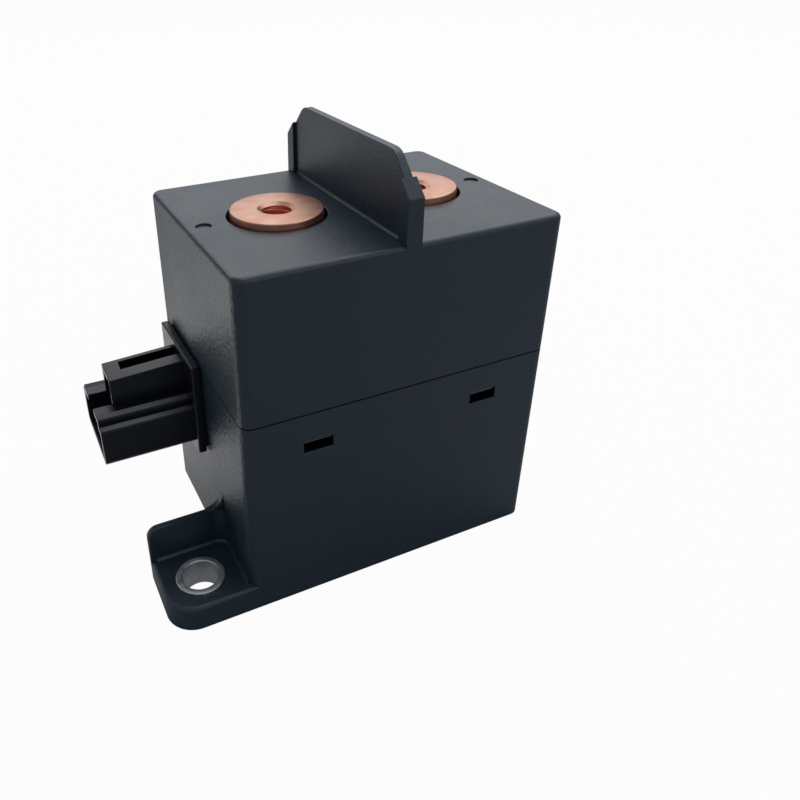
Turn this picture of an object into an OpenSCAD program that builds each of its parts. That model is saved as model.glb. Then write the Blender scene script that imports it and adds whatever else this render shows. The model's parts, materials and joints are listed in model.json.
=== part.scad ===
// High voltage DC contactor with two threaded copper terminals, an insulating barrier
// between them, two mounting feet and a two-blade coil connector.
// Origin: middle of the base's bottom face. +X runs along the body, the front face is -Y, +Z is up.
// Millimetres.

/* [Body] */
// Length of the body along X
body_l = 58; // [54:0.5:80]
// Width of the body along Y
body_w = 44; // [40:0.5:60]
// Height of the top face above the base
body_h = 64; // [59:0.5:80]
// Height of the parting line between base and cover
split_z = 38.5; // [34:0.5:46]
// Hairline gap that shows between base and cover
split_gap = 0.25; // [0.1:0.05:0.5]
// Radius of the vertical corners
corner_r = 2; // [1.5:0.1:5]
// Radius of the vertical corners inside the housing
inner_r = 0.5; // [0.3:0.1:2]
// Radius of the cover's top edges
top_edge_r = 0.9; // [0.5:0.1:1.4]
// Thickness of the side walls
wall = 2; // [1.8:0.1:3]
// Thickness of the base's floor
floor_t = 2; // [1.5:0.1:4]
// Thickness of the cover's roof
roof_t = 2.5; // [1.5:0.1:4]
// Depth of the cover's tongue in the base
lap_h = 2.5; // [1.5:0.1:4]
// Thickness of the base's rim outside the tongue
rim_t = 1; // [0.7:0.1:1.1]
// Clearance round the tongue and the latch tabs
lap_gap = 0.1; // [0.05:0.05:0.2]
// Size of the corner posts that carry the yoke plate
post_s = 4.6; // [4:0.1:6]

/* [Barrier] */
// Height of the barrier above the top face
barrier_h = 13.1; // [10:0.1:25]
// Thickness of the plate between the posts
barrier_t = 1.5; // [1:0.1:3]
// Thickness of the end posts
barrier_post_t = 2.8; // [2.4:0.1:5]
// Length of each end post along Y
barrier_post_l = 2.6; // [1.5:0.1:5]
// Size of the sloping corners
barrier_slope = 6; // [3:0.1:9]
// Radius where slope and top edge meet
barrier_shoulder_r = 3.2; // [0.5:0.1:4]
// Radius of the fillet along the plate's foot
barrier_foot_r = 0.5; // [0.3:0.1:0.6]

/* [Terminals] */
// Distance between the two terminals
terminal_pitch = 26.2; // [22:0.1:30]
// Diameter of the copper pad
terminal_d = 15.8; // [13:0.1:18]
// Height of the pad above the top face
terminal_proud = 1; // [0.5:0.1:3]
// Gap between the pad and the cover
terminal_gap = 0.6; // [0.3:0.1:1]
// Edge break of the pad
terminal_edge = 0.35; // [0.1:0.05:0.8]
// Tapping diameter of the thread (M6)
tap_d = 5; // [4:0.1:7]
// Depth of the threaded hole
tap_depth = 10; // [8:0.5:12]
// Diameter of the countersink at the mouth
tap_sink_d = 6.5; // [6:0.1:9]
// Diameter of the stem inside the chamber
stem_d = 10; // [8:0.1:11]
// Length of the stem below the chamber's roof
stem_drop = 5.5; // [4:0.1:7]
// Diameter of the round witness marks on the top face
dimple_d = 2.6; // [1:0.1:4]
// Depth of the witness marks
dimple_depth = 0.6; // [0.2:0.1:1]
// Distance of the witness marks from the end faces
dimple_inset = 3.1; // [2.6:0.1:5]

/* [Feet] */
// How far each foot reaches out from the body
foot_reach = 14.45; // [11:0.05:25]
// Width of each foot along Y
foot_w = 15.3; // [13:0.1:20]
// Thickness of the foot
foot_t = 5; // [3:0.1:8]
// Radius of the foot's free corner
foot_corner_r = 5.2; // [3:0.1:6]
// Radius of the foot's upper edge
foot_edge_r = 0.8; // [0.3:0.1:1.5]
// Thickness of the upright web on the foot
web_t = 1.4; // [1:0.1:3]
// Height of the upright web
web_h = 12.4; // [9:0.1:20]
// Radius of the web's free corner
web_corner_r = 2.1; // [1:0.1:3]
// Radius where the web runs into the body
web_root_r = 3.4; // [1:0.1:4]
// Radius of the fillet between the foot's floor and its walls
foot_fillet_r = 0.6; // [0.3:0.1:1]
// Radius in the corner between web and body, seen from above
pocket_r = 2.4; // [1:0.1:3]
// Distance of the bush from the body's end face
bush_out = 7.35; // [6:0.05:8.5]
// Distance of the bush from the body's front face
bush_in = 6.8; // [6:0.1:8]
// Outside diameter of the steel bush
bush_d = 8.8; // [8:0.1:10]
// Bore of the steel bush (clearance for M6)
bush_bore = 6.5; // [5.5:0.1:7]
// Height of the bush above the foot
bush_proud = 0.5; // [0:0.1:0.8]
// Edge break of the bush
bush_edge = 0.3; // [0.1:0.05:0.4]

/* [Latches] */
// Distance between the two latch windows of one side
latch_pitch = 32.2; // [28:0.1:36]
// Width of a latch window
window_w = 5.3; // [3:0.1:7]
// Height of a latch window
window_h = 2.3; // [1.5:0.1:4]
// Distance of the window's top from the parting line
window_drop = 5.1; // [4:0.1:8]
// Width of the cover's latch tab
tab_w = 8; // [8:0.1:10]
// How far the latch tab reaches below its window
tab_below = 0.6; // [0.3:0.1:2]
// Height of the hook's outer face
hook_land = 0.8; // [0.4:0.1:1.2]
// Clearance between hook and window
hook_gap = 0.15; // [0.1:0.05:0.3]
// How far the hook's face lies behind the window's outer edge
hook_recess = 0.45; // [0.2:0.05:0.7]

/* [Connector] */
// Middle of the connector along Y
conn_y = 7.9; // [5:0.1:9]
// Width of the flange that lies on the side wall
flange_w = 19.2; // [18.4:0.1:22]
// Height of the flange
flange_h = 18.9; // [17.5:0.1:20]
// How far the flange reaches above the parting line
flange_over = 0.8; // [0.3:0.1:1.5]
// Thickness of the flange
flange_t = 1.85; // [1.2:0.05:3]
// Depth of the shadow groove behind the flange's rim
flange_groove_t = 0.35; // [0.2:0.05:0.5]
// Width of the shadow groove
flange_groove_w = 0.6; // [0.3:0.1:1]
// Radius of the flange's lower corners
flange_r = 1.3; // [0.5:0.1:2]
// Length of the shroud in front of the flange
shroud_l = 16.55; // [13:0.05:22]
// Width of the shroud's lower part
shroud_w = 16.6; // [15:0.1:17]
// Width of the shroud's upper part
shroud_top_w = 13.2; // [12:0.1:14]
// Height of the shroud's lower part
shroud_h = 7.6; // [7:0.1:8]
// Height of the upper part above the lower one
shroud_step = 1.45; // [0.8:0.05:2]
// Distance of the shroud's underside from the flange's lower edge
shroud_lift = 2.1; // [1:0.1:2.5]
// Radius of the shroud's lower edges
shroud_r = 1.5; // [1.4:0.1:2]
// Wall of the shroud
shroud_wall = 1.1; // [0.8:0.05:1.3]
// Thickness at the closed end of the socket
socket_back = 1.6; // [1:0.1:3]
// Width of the lock arch
arch_w = 6.8; // [6.4:0.1:8]
// Height of the lock arch above the shroud
arch_h = 5.3; // [4.5:0.05:7]
// How much the arch's top rises on its way to the flange
arch_rise = 0.7; // [0:0.1:1]
// Distance of the arch from the shroud's mouth
arch_back = 3.4; // [2:0.1:5]
// Wall of the lock arch
arch_wall = 1; // [0.7:0.05:1.1]
// Length of the arch's closed strip in front of its slot
arch_strip = 2.8; // [1.5:0.1:4]
// Width of the slot in the arch's top
arch_slot_w = 2.75; // [1.5:0.05:3.5]
// Width of the neck that passes through the side wall
neck_w = 12; // [11:0.1:14]
// Height of the neck
neck_h = 5; // [4:0.1:6]
// How far the neck stands out inside the base
neck_proud = 0.5; // [0.2:0.1:1]
// Clearance round the neck
neck_gap = 0.15; // [0.1:0.05:0.3]
// Distance between the two blades
blade_pitch = 6; // [5:0.1:7]
// Width of a blade
blade_w = 2.2; // [1.5:0.1:2.8]
// Thickness of a blade
blade_t = 0.8; // [0.5:0.1:1]
// Distance of the blade tips from the mouth
blade_back = 5.2; // [4.5:0.1:7]
// How far the blades stand out inside the base
blade_tail = 2; // [1:0.1:3]
// Diameter of the coil's lead wires
lead_d = 1.2; // [0.8:0.1:1.5]

/* [Magnet system] */
// Thickness of the rubber pad under the yoke
base_pad_t = 1; // [0.5:0.1:2]
// Thickness of the U-shaped yoke
yoke_t = 2.2; // [1.5:0.1:3]
// Width of the yoke's strip
yoke_w = 26; // [20:0.5:28]
// Radius of the yoke's outer bends
yoke_bend_r = 1.8; // [1:0.1:2.2]
// Width of the tenons that key the yoke into its plate
tenon_w = 9; // [6:0.5:14]
// Clearance round the tenons
tenon_gap = 0.05; // [0.05:0.05:0.2]
// Clearance between the yoke and the base's walls
yoke_gap = 0.2; // [0.1:0.05:0.5]
// Thickness of the yoke plate
plate_t = 3; // [2:0.1:4]
// Distance of the yoke plate from the end walls
plate_end_gap = 2; // [1.5:0.1:3]
// Radius of the yoke plate's corners
plate_corner_r = 1; // [0.5:0.1:3]
// Thickness of the bobbin's flanges
bobbin_flange_t = 1.4; // [1:0.1:2]
// Wall of the bobbin's tube
bobbin_tube_t = 1; // [0.7:0.1:1.5]
// Depth of the winding below the flange's edge
winding_inset = 1; // [0.5:0.1:3]
// How far the bobbin's terminal block stands out
block_out = 2.5; // [1.5:0.1:3]
// Width of the bobbin's terminal block
block_w = 10; // [8:0.1:12]
// Diameter of the plunger and the fixed core
plunger_d = 13.6; // [11:0.1:14]
// Radial clearance between the plunger and its cup
plunger_gap = 0.2; // [0.1:0.05:0.3]
// Wall of the guide cup
cup_t = 0.5; // [0.3:0.05:1]
// Radial clearance between the cup and the bobbin
cup_gap = 0.2; // [0.1:0.05:0.3]
// Width of the guide cup's flange
cup_flange_w = 2; // [1:0.1:3]
// Thickness of the rubber damper under the plunger
damper_t = 1.2; // [0.8:0.1:2]
// Length of the fixed core below the yoke plate
core_l = 9.5; // [8:0.1:12]
// Diameter of the core's spigot in the yoke plate
spigot_d = 9; // [8:0.1:10]
// Travel of the plunger
stroke = 2; // [1.5:0.1:3]
// Gap that is left between plunger and core at full travel
core_rest_gap = 0.05; // [0.05:0.05:0.2]
// Diameter of the drive shaft
shaft_d = 4; // [3:0.1:5]
// Radial clearance between the shaft and its bores
shaft_gap = 0.1; // [0.05:0.05:0.2]
// Length of the shaft that is pressed into the plunger
shaft_press_l = 7; // [4:0.1:8]
// Wire of the return spring
return_wire_d = 0.8; // [0.5:0.05:1]
// Mean diameter of the return spring
return_spring_d = 6.4; // [6.2:0.1:6.8]
// Turns of the return spring
return_turns = 6; // [4:1:8]
// Clearance round the return spring
return_pocket_gap = 0.5; // [0.3:0.05:0.6]
// Depth of the spring pocket in the plunger
plunger_pocket = 2; // [1:0.1:3]
// Iron left above the spring pocket in the core
core_pocket_roof = 3; // [2:0.1:4]

/* [Contact chamber] */
// Free height between the chamber and the cover's roof
roof_clear = 4; // [2.5:0.1:6]
// Height of the ceramic chamber
chamber_h = 17; // [15:0.1:18]
// Wall of the ceramic chamber
chamber_wall = 3; // [2:0.1:3.5]
// Width of the chamber along Y
chamber_w = 25; // [22:0.1:26]
// Radius of the chamber's outer corners
chamber_corner_r = 3; // [1:0.1:5]
// Radius of the chamber's inner corners
chamber_inner_r = 1; // [0.5:0.1:2]
// Space between a stem and the chamber's end wall
stem_side_gap = 2; // [2:0.1:3]
// Clearance of the stem in the ceramic
stem_gap = 0.15; // [0.1:0.05:0.3]
// Height of the metal ring under the chamber
ring_h = 4; // [3:0.1:6]
// Wall of the metal ring
ring_t = 1; // [0.6:0.1:1.5]
// Width of the ring's weld flange
ring_flange_w = 1.8; // [1:0.1:2]
// Thickness of the ring's weld flange
ring_flange_t = 0.8; // [0.5:0.1:1.2]
// Thickness of the brazed washers under the terminal pads
washer_t = 0.8; // [0.5:0.1:1.5]
// Diameter of the brazed washers
washer_d = 14; // [12.5:0.1:15]
// Wall of the arc shield
shield_t = 0.8; // [0.5:0.1:1]
// Height of the arc shield's rim
shield_h = 5; // [3:0.1:6]
// Clearance round the arc shield
shield_gap = 0.3; // [0.2:0.05:0.5]
// Length of the blowout magnets
magnet_l = 26; // [18:0.5:40]
// Height of the blowout magnets
magnet_h = 12; // [8:0.5:14]
// Thickness of the blowout magnets
magnet_t = 3; // [2:0.1:3.2]
// Radius of the magnets' upright edges
magnet_edge_r = 0.5; // [0.2:0.1:0.9]
// Thickness of the backing plates behind the magnets
backing_t = 1.5; // [1:0.1:1.6]
// How far the backing plates reach past the magnets
backing_over = 3; // [1:0.1:4]
// Diameter of the gas fill tube
tube_d = 3; // [2:0.1:4]
// Wall of the gas fill tube
tube_wall = 0.6; // [0.4:0.05:0.8]
// Height of the gas fill tube above the chamber
tube_h = 2.2; // [1.5:0.1:2.4]

/* [Moving contact] */
// Part of the stroke that compresses the contact spring
overtravel = 0.5; // [0.3:0.05:1]
// Width of the moving bridge
bridge_w = 10; // [8:0.1:12]
// Thickness of the moving bridge
bridge_t = 3; // [2:0.1:4]
// Distance from a contact's middle to the bridge's end
bridge_end = 5; // [4.5:0.1:5.5]
// Radius of the bridge's corners
bridge_corner_r = 3.5; // [1:0.1:3.9]
// Diameter of the bridge's contact buttons
button_d = 8; // [5:0.1:9]
// Height of the contact buttons
button_h = 0.4; // [0.2:0.1:1]
// Wire of the contact spring
contact_wire_d = 1; // [0.6:0.05:1.2]
// Mean diameter of the contact spring
contact_spring_d = 8; // [7:0.1:8.6]
// Turns of the contact spring
contact_turns = 4; // [3:1:4]
// Diameter of the spring seat
seat_d = 10; // [9.5:0.1:11]
// Thickness of the spring seat
seat_t = 0.8; // [0.5:0.1:1.5]
// Clearance between the spring seat and the arc shield
seat_clear = 0.4; // [0.3:0.05:1]
// Thickness of the retaining clip
clip_t = 0.8; // [0.5:0.1:1.2]
// Outside diameter of the retaining clip
clip_d = 7.4; // [6:0.1:9]
// Depth of the clip's groove in the shaft
groove = 0.5; // [0.3:0.05:0.7]
// Length of the shaft above the clip
shaft_tip = 1; // [0.5:0.1:1.5]

/* [Hidden] */
$fn = 72;
// Small overlap that makes joined solids one
eps = 0.5;

// Inside of the housing
inner_l = body_l - 2 * wall;
inner_w = body_w - 2 * wall;
tongue_t = wall - rim_t - lap_gap;
cover_z0 = split_z + split_gap;
window_z1 = split_z - window_drop;
window_z0 = window_z1 - window_h;
tab_z0 = window_z0 - tab_below;
roof_z = body_h - roof_t;

// Terminals and chamber, stacked down from the roof
terminal_x = terminal_pitch / 2;
terminal_z1 = body_h + terminal_proud;
pad_hole_d = terminal_d + 2 * terminal_gap;
chamber_z1 = roof_z - roof_clear;
chamber_z0 = chamber_z1 - chamber_h;
chamber_l = terminal_pitch + stem_d + 2 * (stem_side_gap + chamber_wall);
chamber_in_l = chamber_l - 2 * chamber_wall;
chamber_in_w = chamber_w - 2 * chamber_wall;
washer_z1 = chamber_z1 + washer_t;
stem_hole_d = stem_d + 2 * stem_gap;
tip_z = chamber_z1 - chamber_wall - stem_drop;
ring_l = chamber_in_l + 2 * ring_t + 2 * shield_gap;
ring_w = chamber_in_w + 2 * ring_t + 2 * shield_gap;
ring_r = chamber_inner_r + shield_gap;
plate_z1 = chamber_z0 - ring_h;
plate_z0 = plate_z1 - plate_t;

// Magnet system, stacked up from the floor
yoke_z0 = floor_t + base_pad_t;
bobbin_z0 = yoke_z0 + yoke_t;
yoke_y1 = inner_w / 2 - yoke_gap;
flange_rad = yoke_y1 - yoke_t - yoke_gap;
cup_in_r = plunger_d / 2 + plunger_gap;
cup_out_r = cup_in_r + cup_t;
bobbin_bore_r = cup_out_r + cup_gap;
bobbin_tube_r = bobbin_bore_r + bobbin_tube_t;
plunger_z0 = bobbin_z0 + cup_t + damper_t;
core_z0 = plate_z0 - core_l;
plunger_z1 = core_z0 - core_rest_gap - stroke;
return_z0 = plunger_z1 - plunger_pocket;
return_z1 = plate_z0 - core_pocket_roof;
return_pocket_d = return_spring_d + return_wire_d + 2 * return_pocket_gap;
shaft_bore_d = shaft_d + 2 * shaft_gap;
plate_l = inner_l - 2 * plate_end_gap;

// Moving contact, stacked down from the fixed contact tips
contact_gap = stroke - overtravel;
button_z1 = tip_z - contact_gap;
bridge_z1 = button_z1 - button_h;
bridge_z0 = bridge_z1 - bridge_t;
seat_z0 = plate_z1 + shield_t + seat_clear;
seat_z1 = seat_z0 + seat_t;
shaft_z1 = bridge_z1 + clip_t + shaft_tip;

// Feet and bushes of the front left corner
foot_x0 = -body_l / 2 - foot_reach;
foot_y1 = -body_w / 2 + foot_w;
bush_x = -body_l / 2 - bush_out;
bush_y = -body_w / 2 + bush_in;

// Connector on the left side wall
side_x = -body_l / 2;
flange_x = side_x - flange_t;
mouth_x = flange_x - shroud_l;
flange_z1 = split_z + flange_over;
flange_z0 = flange_z1 - flange_h;
shroud_z0 = flange_z0 + shroud_lift;
ledge_z = shroud_z0 + shroud_h;
shroud_z1 = ledge_z + shroud_step;
arch_z1 = shroud_z1 + arch_h;
socket_x1 = flange_x - socket_back;
blade_z = shroud_z0 + shroud_h / 2;
neck_x1 = -inner_l / 2 + neck_proud;
blade_x0 = mouth_x + blade_back;
blade_x1 = neck_x1 + blade_tail;
block_x = -flange_rad - block_out;
block_z = plate_z0 - bobbin_flange_t - lead_d;

// Plain helpers

// Flat rectangle with round corners, centred
module round_rect(l, w, r) {
    square([l - 2 * r, w], center = true);
    square([l, w - 2 * r], center = true);
    for (sx = [-1, 1], sy = [-1, 1])
        translate([sx * (l / 2 - r), sy * (w / 2 - r)])
            circle(r);
}

// Concave fillet section in the corner of the two positive axes
module fillet_section(r) {
    difference() {
        translate([-eps, -eps])
            square(r + eps);
        translate([r, r])
            circle(r);
    }
}

// Half section of a bar with one rounded upper edge, from the middle out to the edge
module edge_section(half, h, r) {
    square([half - r, h]);
    square([half, h - r]);
    intersection() {
        translate([half - r, h - r])
            circle(r);
        translate([half - r, h - r])
            square(r);
    }
}

// Block on the XY plane with round vertical corners and rounded upper edges
module soft_block(l, w, h, corner, edge) {
    for (sx = [-1, 1], sy = [-1, 1])
        translate([sx * (l / 2 - corner), sy * (w / 2 - corner), 0])
            rotate_extrude()
                edge_section(corner, h, edge);
    rotate([90, 0, 90])
        translate([0, 0, -l / 2 + corner])
            linear_extrude(l - 2 * corner)
                for (m = [0, 1])
                    mirror([m, 0])
                        edge_section(w / 2, h, edge);
    rotate([90, 0, 0])
        translate([0, 0, -w / 2 + corner])
            linear_extrude(w - 2 * corner)
                for (m = [0, 1])
                    mirror([m, 0])
                        edge_section(l / 2, h, edge);
}

// Box from one corner to the other
module span(a, b) {
    translate(a)
        cube(b - a);
}

// Point and direction on an S-curve that leaves one point and reaches the other along X
function s_curve(a, b, t) =
    let (lead = [(b.x - a.x) / 2, 0, 0], p = a + lead, q = b - lead, u = 1 - t)
    u * u * u * a + 3 * u * u * t * p + 3 * u * t * t * q + t * t * t * b;
function s_curve_way(a, b, t) =
    let (lead = [(b.x - a.x) / 2, 0, 0], p = a + lead, q = b - lead, u = 1 - t,
         v = u * u * (p - a) + 2 * u * t * (q - p) + t * t * (b - q))
    v / norm(v);

// Skin of a tube whose rings are listed one after the other
function tube_faces(rings, sides) = concat(
    [for (i = [0:rings - 2], k = [0:sides - 1])
        let (j = (k + 1) % sides)
            [i * sides + k, (i + 1) * sides + k, (i + 1) * sides + j, i * sides + j]],
    [[for (k = [0:sides - 1]) k]],
    [[for (k = [sides - 1:-1:0]) (rings - 1) * sides + k]]
);

// Round wire along an S-curve
module bent_wire(a, b, d) {
    steps = 14;
    sides = 10;
    points = [
        for (i = [0:steps])
            let (c = s_curve(a, b, i / steps), way = s_curve_way(a, b, i / steps),
                 side = cross(way, [0, 0, 1]) / norm(cross(way, [0, 0, 1])), up = cross(side, way))
                for (k = [0:sides - 1])
                    c + d / 2 * (side * cos(360 * k / sides) + up * sin(360 * k / sides))
    ];
    polyhedron(points, tube_faces(steps + 1, sides));
}

// Height along a spring whose first and last turns lie closed
function spring_rise(turn, turns, h, wire) =
    let (closed = wire * 1.02)
    turn < 1 ? turn * closed :
    turn > turns - 1 ? h - (turns - turn) * closed :
    closed + (turn - 1) * (h - 2 * closed) / (turns - 2);

// Round wire compression spring between two heights
module compression_spring(d, wire, z0, z1, turns) {
    steps = 18;
    sides = 8;
    rings = turns * steps;
    rise = z1 - z0 - wire;
    points = [
        for (i = [0:rings])
            let (a = 360 * i / steps, z = z0 + wire / 2 + spring_rise(i / steps, turns, rise, wire))
                for (k = [0:sides - 1])
                    let (b = 360 * k / sides, r = d / 2 + wire / 2 * cos(b))
                        [r * cos(a), r * sin(a), z + wire / 2 * sin(b)]
    ];
    polyhedron(points, tube_faces(rings + 1, sides));
}

// Housing

// One mounting foot at the front left corner
module foot() {
    // Flat sole with a round free corner and soft upper edges
    intersection() {
        translate([side_x, foot_y1, 0])
            soft_block(2 * foot_reach, 2 * foot_w, foot_t, foot_corner_r, foot_edge_r);
        span([foot_x0 - eps, -body_w / 2 - eps, -eps], [side_x + wall, foot_y1, foot_t + eps]);
    }
    // Upright web along the inner edge
    translate([0, foot_y1, 0])
        rotate([90, 0, 0])
            linear_extrude(web_t) {
                translate([foot_x0 + web_corner_r, 0])
                    square([foot_reach - web_corner_r + wall, web_h]);
                translate([foot_x0, 0])
                    square([foot_reach, web_h - web_corner_r]);
                translate([foot_x0 + web_corner_r, web_h - web_corner_r])
                    circle(web_corner_r);
                translate([side_x, web_h])
                    mirror([1, 0])
                        fillet_section(web_root_r);
            }
    // Fillets along the web's and the body's foot
    translate([foot_x0 + foot_edge_r, foot_y1 - web_t, foot_t])
        rotate([90, 0, 90])
            linear_extrude(foot_reach - foot_edge_r)
                mirror([1, 0])
                    fillet_section(foot_fillet_r);
    translate([side_x, -body_w / 2 + corner_r, foot_t])
        rotate([90, 0, 180])
            linear_extrude(foot_w - web_t - corner_r)
                fillet_section(foot_fillet_r);
    // Round inner corner between web and body, with the fillet led round its foot
    translate([side_x, foot_y1 - web_t, 0]) {
        linear_extrude(web_h)
            rotate(180)
                fillet_section(pocket_r);
        translate([-pocket_r, -pocket_r, foot_t])
            rotate_extrude(angle = 90)
                translate([pocket_r, 0])
                    mirror([1, 0])
                        fillet_section(foot_fillet_r);
    }
}

// Outline of a latch tab's hook, seen from the end: it catches the window's upper edge
module hook_section() {
    top = window_z1 - hook_gap;
    low = window_z0 + hook_gap;
    root = inner_w / 2 + tongue_t;
    tip = body_w / 2 - hook_recess;
    polygon([[root - eps / 2, low], [root, low], [tip, top - hook_land], [tip, top], [root - eps / 2, top]]);
}

module at_latches() {
    for (sx = [-1, 1], turn = [0, 180])
        rotate(turn)
            translate([sx * latch_pitch / 2, 0, 0])
                children();
}

module base_housing() {
    color("#22262c") {
        difference() {
            union() {
                linear_extrude(split_z)
                    round_rect(body_l, body_w, corner_r);
                for (turn = [0, 180])
                    rotate(turn)
                        foot();
            }
            translate([0, 0, floor_t])
                linear_extrude(split_z)
                    round_rect(inner_l, inner_w, inner_r);
            translate([0, 0, split_z - lap_h - lap_gap])
                linear_extrude(split_z)
                    round_rect(body_l - 2 * rim_t, body_w - 2 * rim_t, corner_r - rim_t);
            at_latches() {
                span([-tab_w / 2 - lap_gap, 0, tab_z0 - lap_gap],
                     [tab_w / 2 + lap_gap, body_w / 2 - rim_t, split_z]);
                span([-window_w / 2, 0, window_z0], [window_w / 2, body_w, window_z1]);
            }
            span([side_x - eps, conn_y - neck_w / 2 - neck_gap, blade_z - neck_h / 2 - neck_gap],
                 [-inner_l / 2 + eps, conn_y + neck_w / 2 + neck_gap, blade_z + neck_h / 2 + neck_gap]);
            for (turn = [0, 180])
                rotate(turn)
                    translate([bush_x, bush_y, -eps])
                        cylinder(d = bush_d, h = foot_t + 2 * eps);
        }
        for (sx = [0, 1], sy = [0, 1])
            mirror([sx, 0, 0])
                mirror([0, sy, 0])
                    span([inner_l / 2 - post_s, inner_w / 2 - post_s, floor_t - eps],
                         [inner_l / 2 + eps, inner_w / 2 + eps, plate_z0]);
    }
}

// Outline of the barrier seen along X
module barrier_outline() {
    half = body_w / 2;
    top = body_h + barrier_h;
    tangent = barrier_shoulder_r * tan(22.5);
    run = tangent * cos(45);
    for (m = [0, 1])
        mirror([m, 0]) {
            polygon([
                [0, roof_z], [half, roof_z], [half, top - barrier_slope],
                [half - barrier_slope + run, top - run], [half - barrier_slope - tangent, top], [0, top]
            ]);
            translate([half - barrier_slope - tangent, top - barrier_shoulder_r])
                circle(barrier_shoulder_r);
        }
}

module barrier_slice(t) {
    rotate([90, 0, 90])
        translate([0, 0, -t / 2])
            linear_extrude(t)
                barrier_outline();
}

module barrier() {
    barrier_slice(barrier_t);
    intersection() {
        barrier_slice(barrier_post_t);
        for (turn = [0, 180])
            rotate(turn)
                span([-barrier_post_t, body_w / 2 - barrier_post_l, 0],
                     [barrier_post_t, body_w, body_h + barrier_h]);
    }
    for (turn = [0, 180])
        rotate(turn)
            translate([barrier_t / 2, 0, body_h])
                rotate([90, 0, 0])
                    translate([0, 0, -body_w / 2 + barrier_post_l - eps / 2])
                        linear_extrude(body_w - 2 * barrier_post_l + eps)
                            fillet_section(barrier_foot_r);
}

module top_cover() {
    color("#262a30") {
        difference() {
            union() {
                translate([0, 0, cover_z0])
                    soft_block(body_l, body_w, body_h - cover_z0, corner_r, top_edge_r);
                barrier();
                translate([0, 0, split_z - lap_h])
                    linear_extrude(cover_z0 - split_z + lap_h + eps)
                        round_rect(inner_l + 2 * tongue_t, inner_w + 2 * tongue_t, inner_r + tongue_t);
                at_latches()
                    span([-tab_w / 2, inner_w / 2 - eps, tab_z0],
                         [tab_w / 2, inner_w / 2 + tongue_t, split_z]);
                at_latches()
                    rotate([90, 0, 90])
                        translate([0, 0, -window_w / 2 + hook_gap])
                            linear_extrude(window_w - 2 * hook_gap)
                                hook_section();
            }
            translate([0, 0, tab_z0 - eps])
                linear_extrude(roof_z - tab_z0 + eps)
                    round_rect(inner_l, inner_w, inner_r);
            for (sx = [-1, 1]) {
                translate([sx * terminal_x, 0, roof_z - eps])
                    cylinder(d = pad_hole_d, h = roof_t + 2 * eps);
                translate([sx * (body_l / 2 - dimple_inset), 0, body_h - dimple_depth])
                    cylinder(d = dimple_d, h = dimple_depth + eps);
            }
        }
    }
}

module terminal(side) {
    r = terminal_d / 2;
    s = stem_d / 2;
    sink_h = (tap_sink_d - tap_d) / 2;
    color("#d39377")
        translate([side * terminal_x, 0, 0])
            difference() {
                rotate_extrude()
                    polygon([
                        [0, tip_z], [s - terminal_edge, tip_z], [s, tip_z + terminal_edge], [s, washer_z1],
                        [r, washer_z1], [r, terminal_z1 - terminal_edge], [r - terminal_edge, terminal_z1],
                        [0, terminal_z1]
                    ]);
                translate([0, 0, terminal_z1 - tap_depth])
                    cylinder(d = tap_d, h = tap_depth + eps);
                translate([0, 0, terminal_z1 - sink_h])
                    cylinder(d1 = tap_d, d2 = tap_sink_d, h = sink_h);
            }
}

module terminal_left() terminal(-1);
module terminal_right() terminal(1);

module mount_bush(turn) {
    out = bush_d / 2;
    bore = bush_bore / 2;
    top = foot_t + bush_proud;
    color("#9a9c9e")
        rotate(turn)
            translate([bush_x, bush_y, 0])
                rotate_extrude()
                    polygon([
                        [bore + bush_edge, 0], [out - bush_edge, 0], [out, bush_edge],
                        [out, top - bush_edge], [out - bush_edge, top], [bore + bush_edge, top],
                        [bore, top - bush_edge], [bore, bush_edge]
                    ]);
}

module mount_bush_front() mount_bush(0);
module mount_bush_rear() mount_bush(180);

// Connector

// Section of the shroud across its length, inset by a wall
module shroud_section(inset) {
    low = shroud_z0 + inset;
    r = shroud_r - inset;
    half = shroud_w / 2 - inset;
    translate([conn_y - half, low + r])
        square([2 * half, ledge_z - inset - low - r]);
    translate([conn_y - half + r, low])
        square([2 * (half - r), ledge_z - inset - low]);
    for (s = [-1, 1])
        translate([conn_y + s * (half - r), low + r])
            circle(r);
    translate([conn_y - shroud_top_w / 2 + inset, low + r])
        square([shroud_top_w - 2 * inset, shroud_z1 - inset - low - r]);
}

// Outline of the flange, inset from its edges: round lower corners, square upper ones
module flange_section(inset) {
    l = flange_w - 2 * inset;
    h = flange_h - 2 * inset;
    translate([conn_y, flange_z0 + flange_h / 2]) {
        round_rect(l, h, flange_r);
        translate([-l / 2, 0])
            square([l, h / 2]);
    }
}

// Extrudes a section drawn in the YZ plane from one X to another
module along_x(x0, x1) {
    translate([x0, 0, 0])
        rotate([90, 0, 90])
            linear_extrude(x1 - x0)
                children();
}

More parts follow.
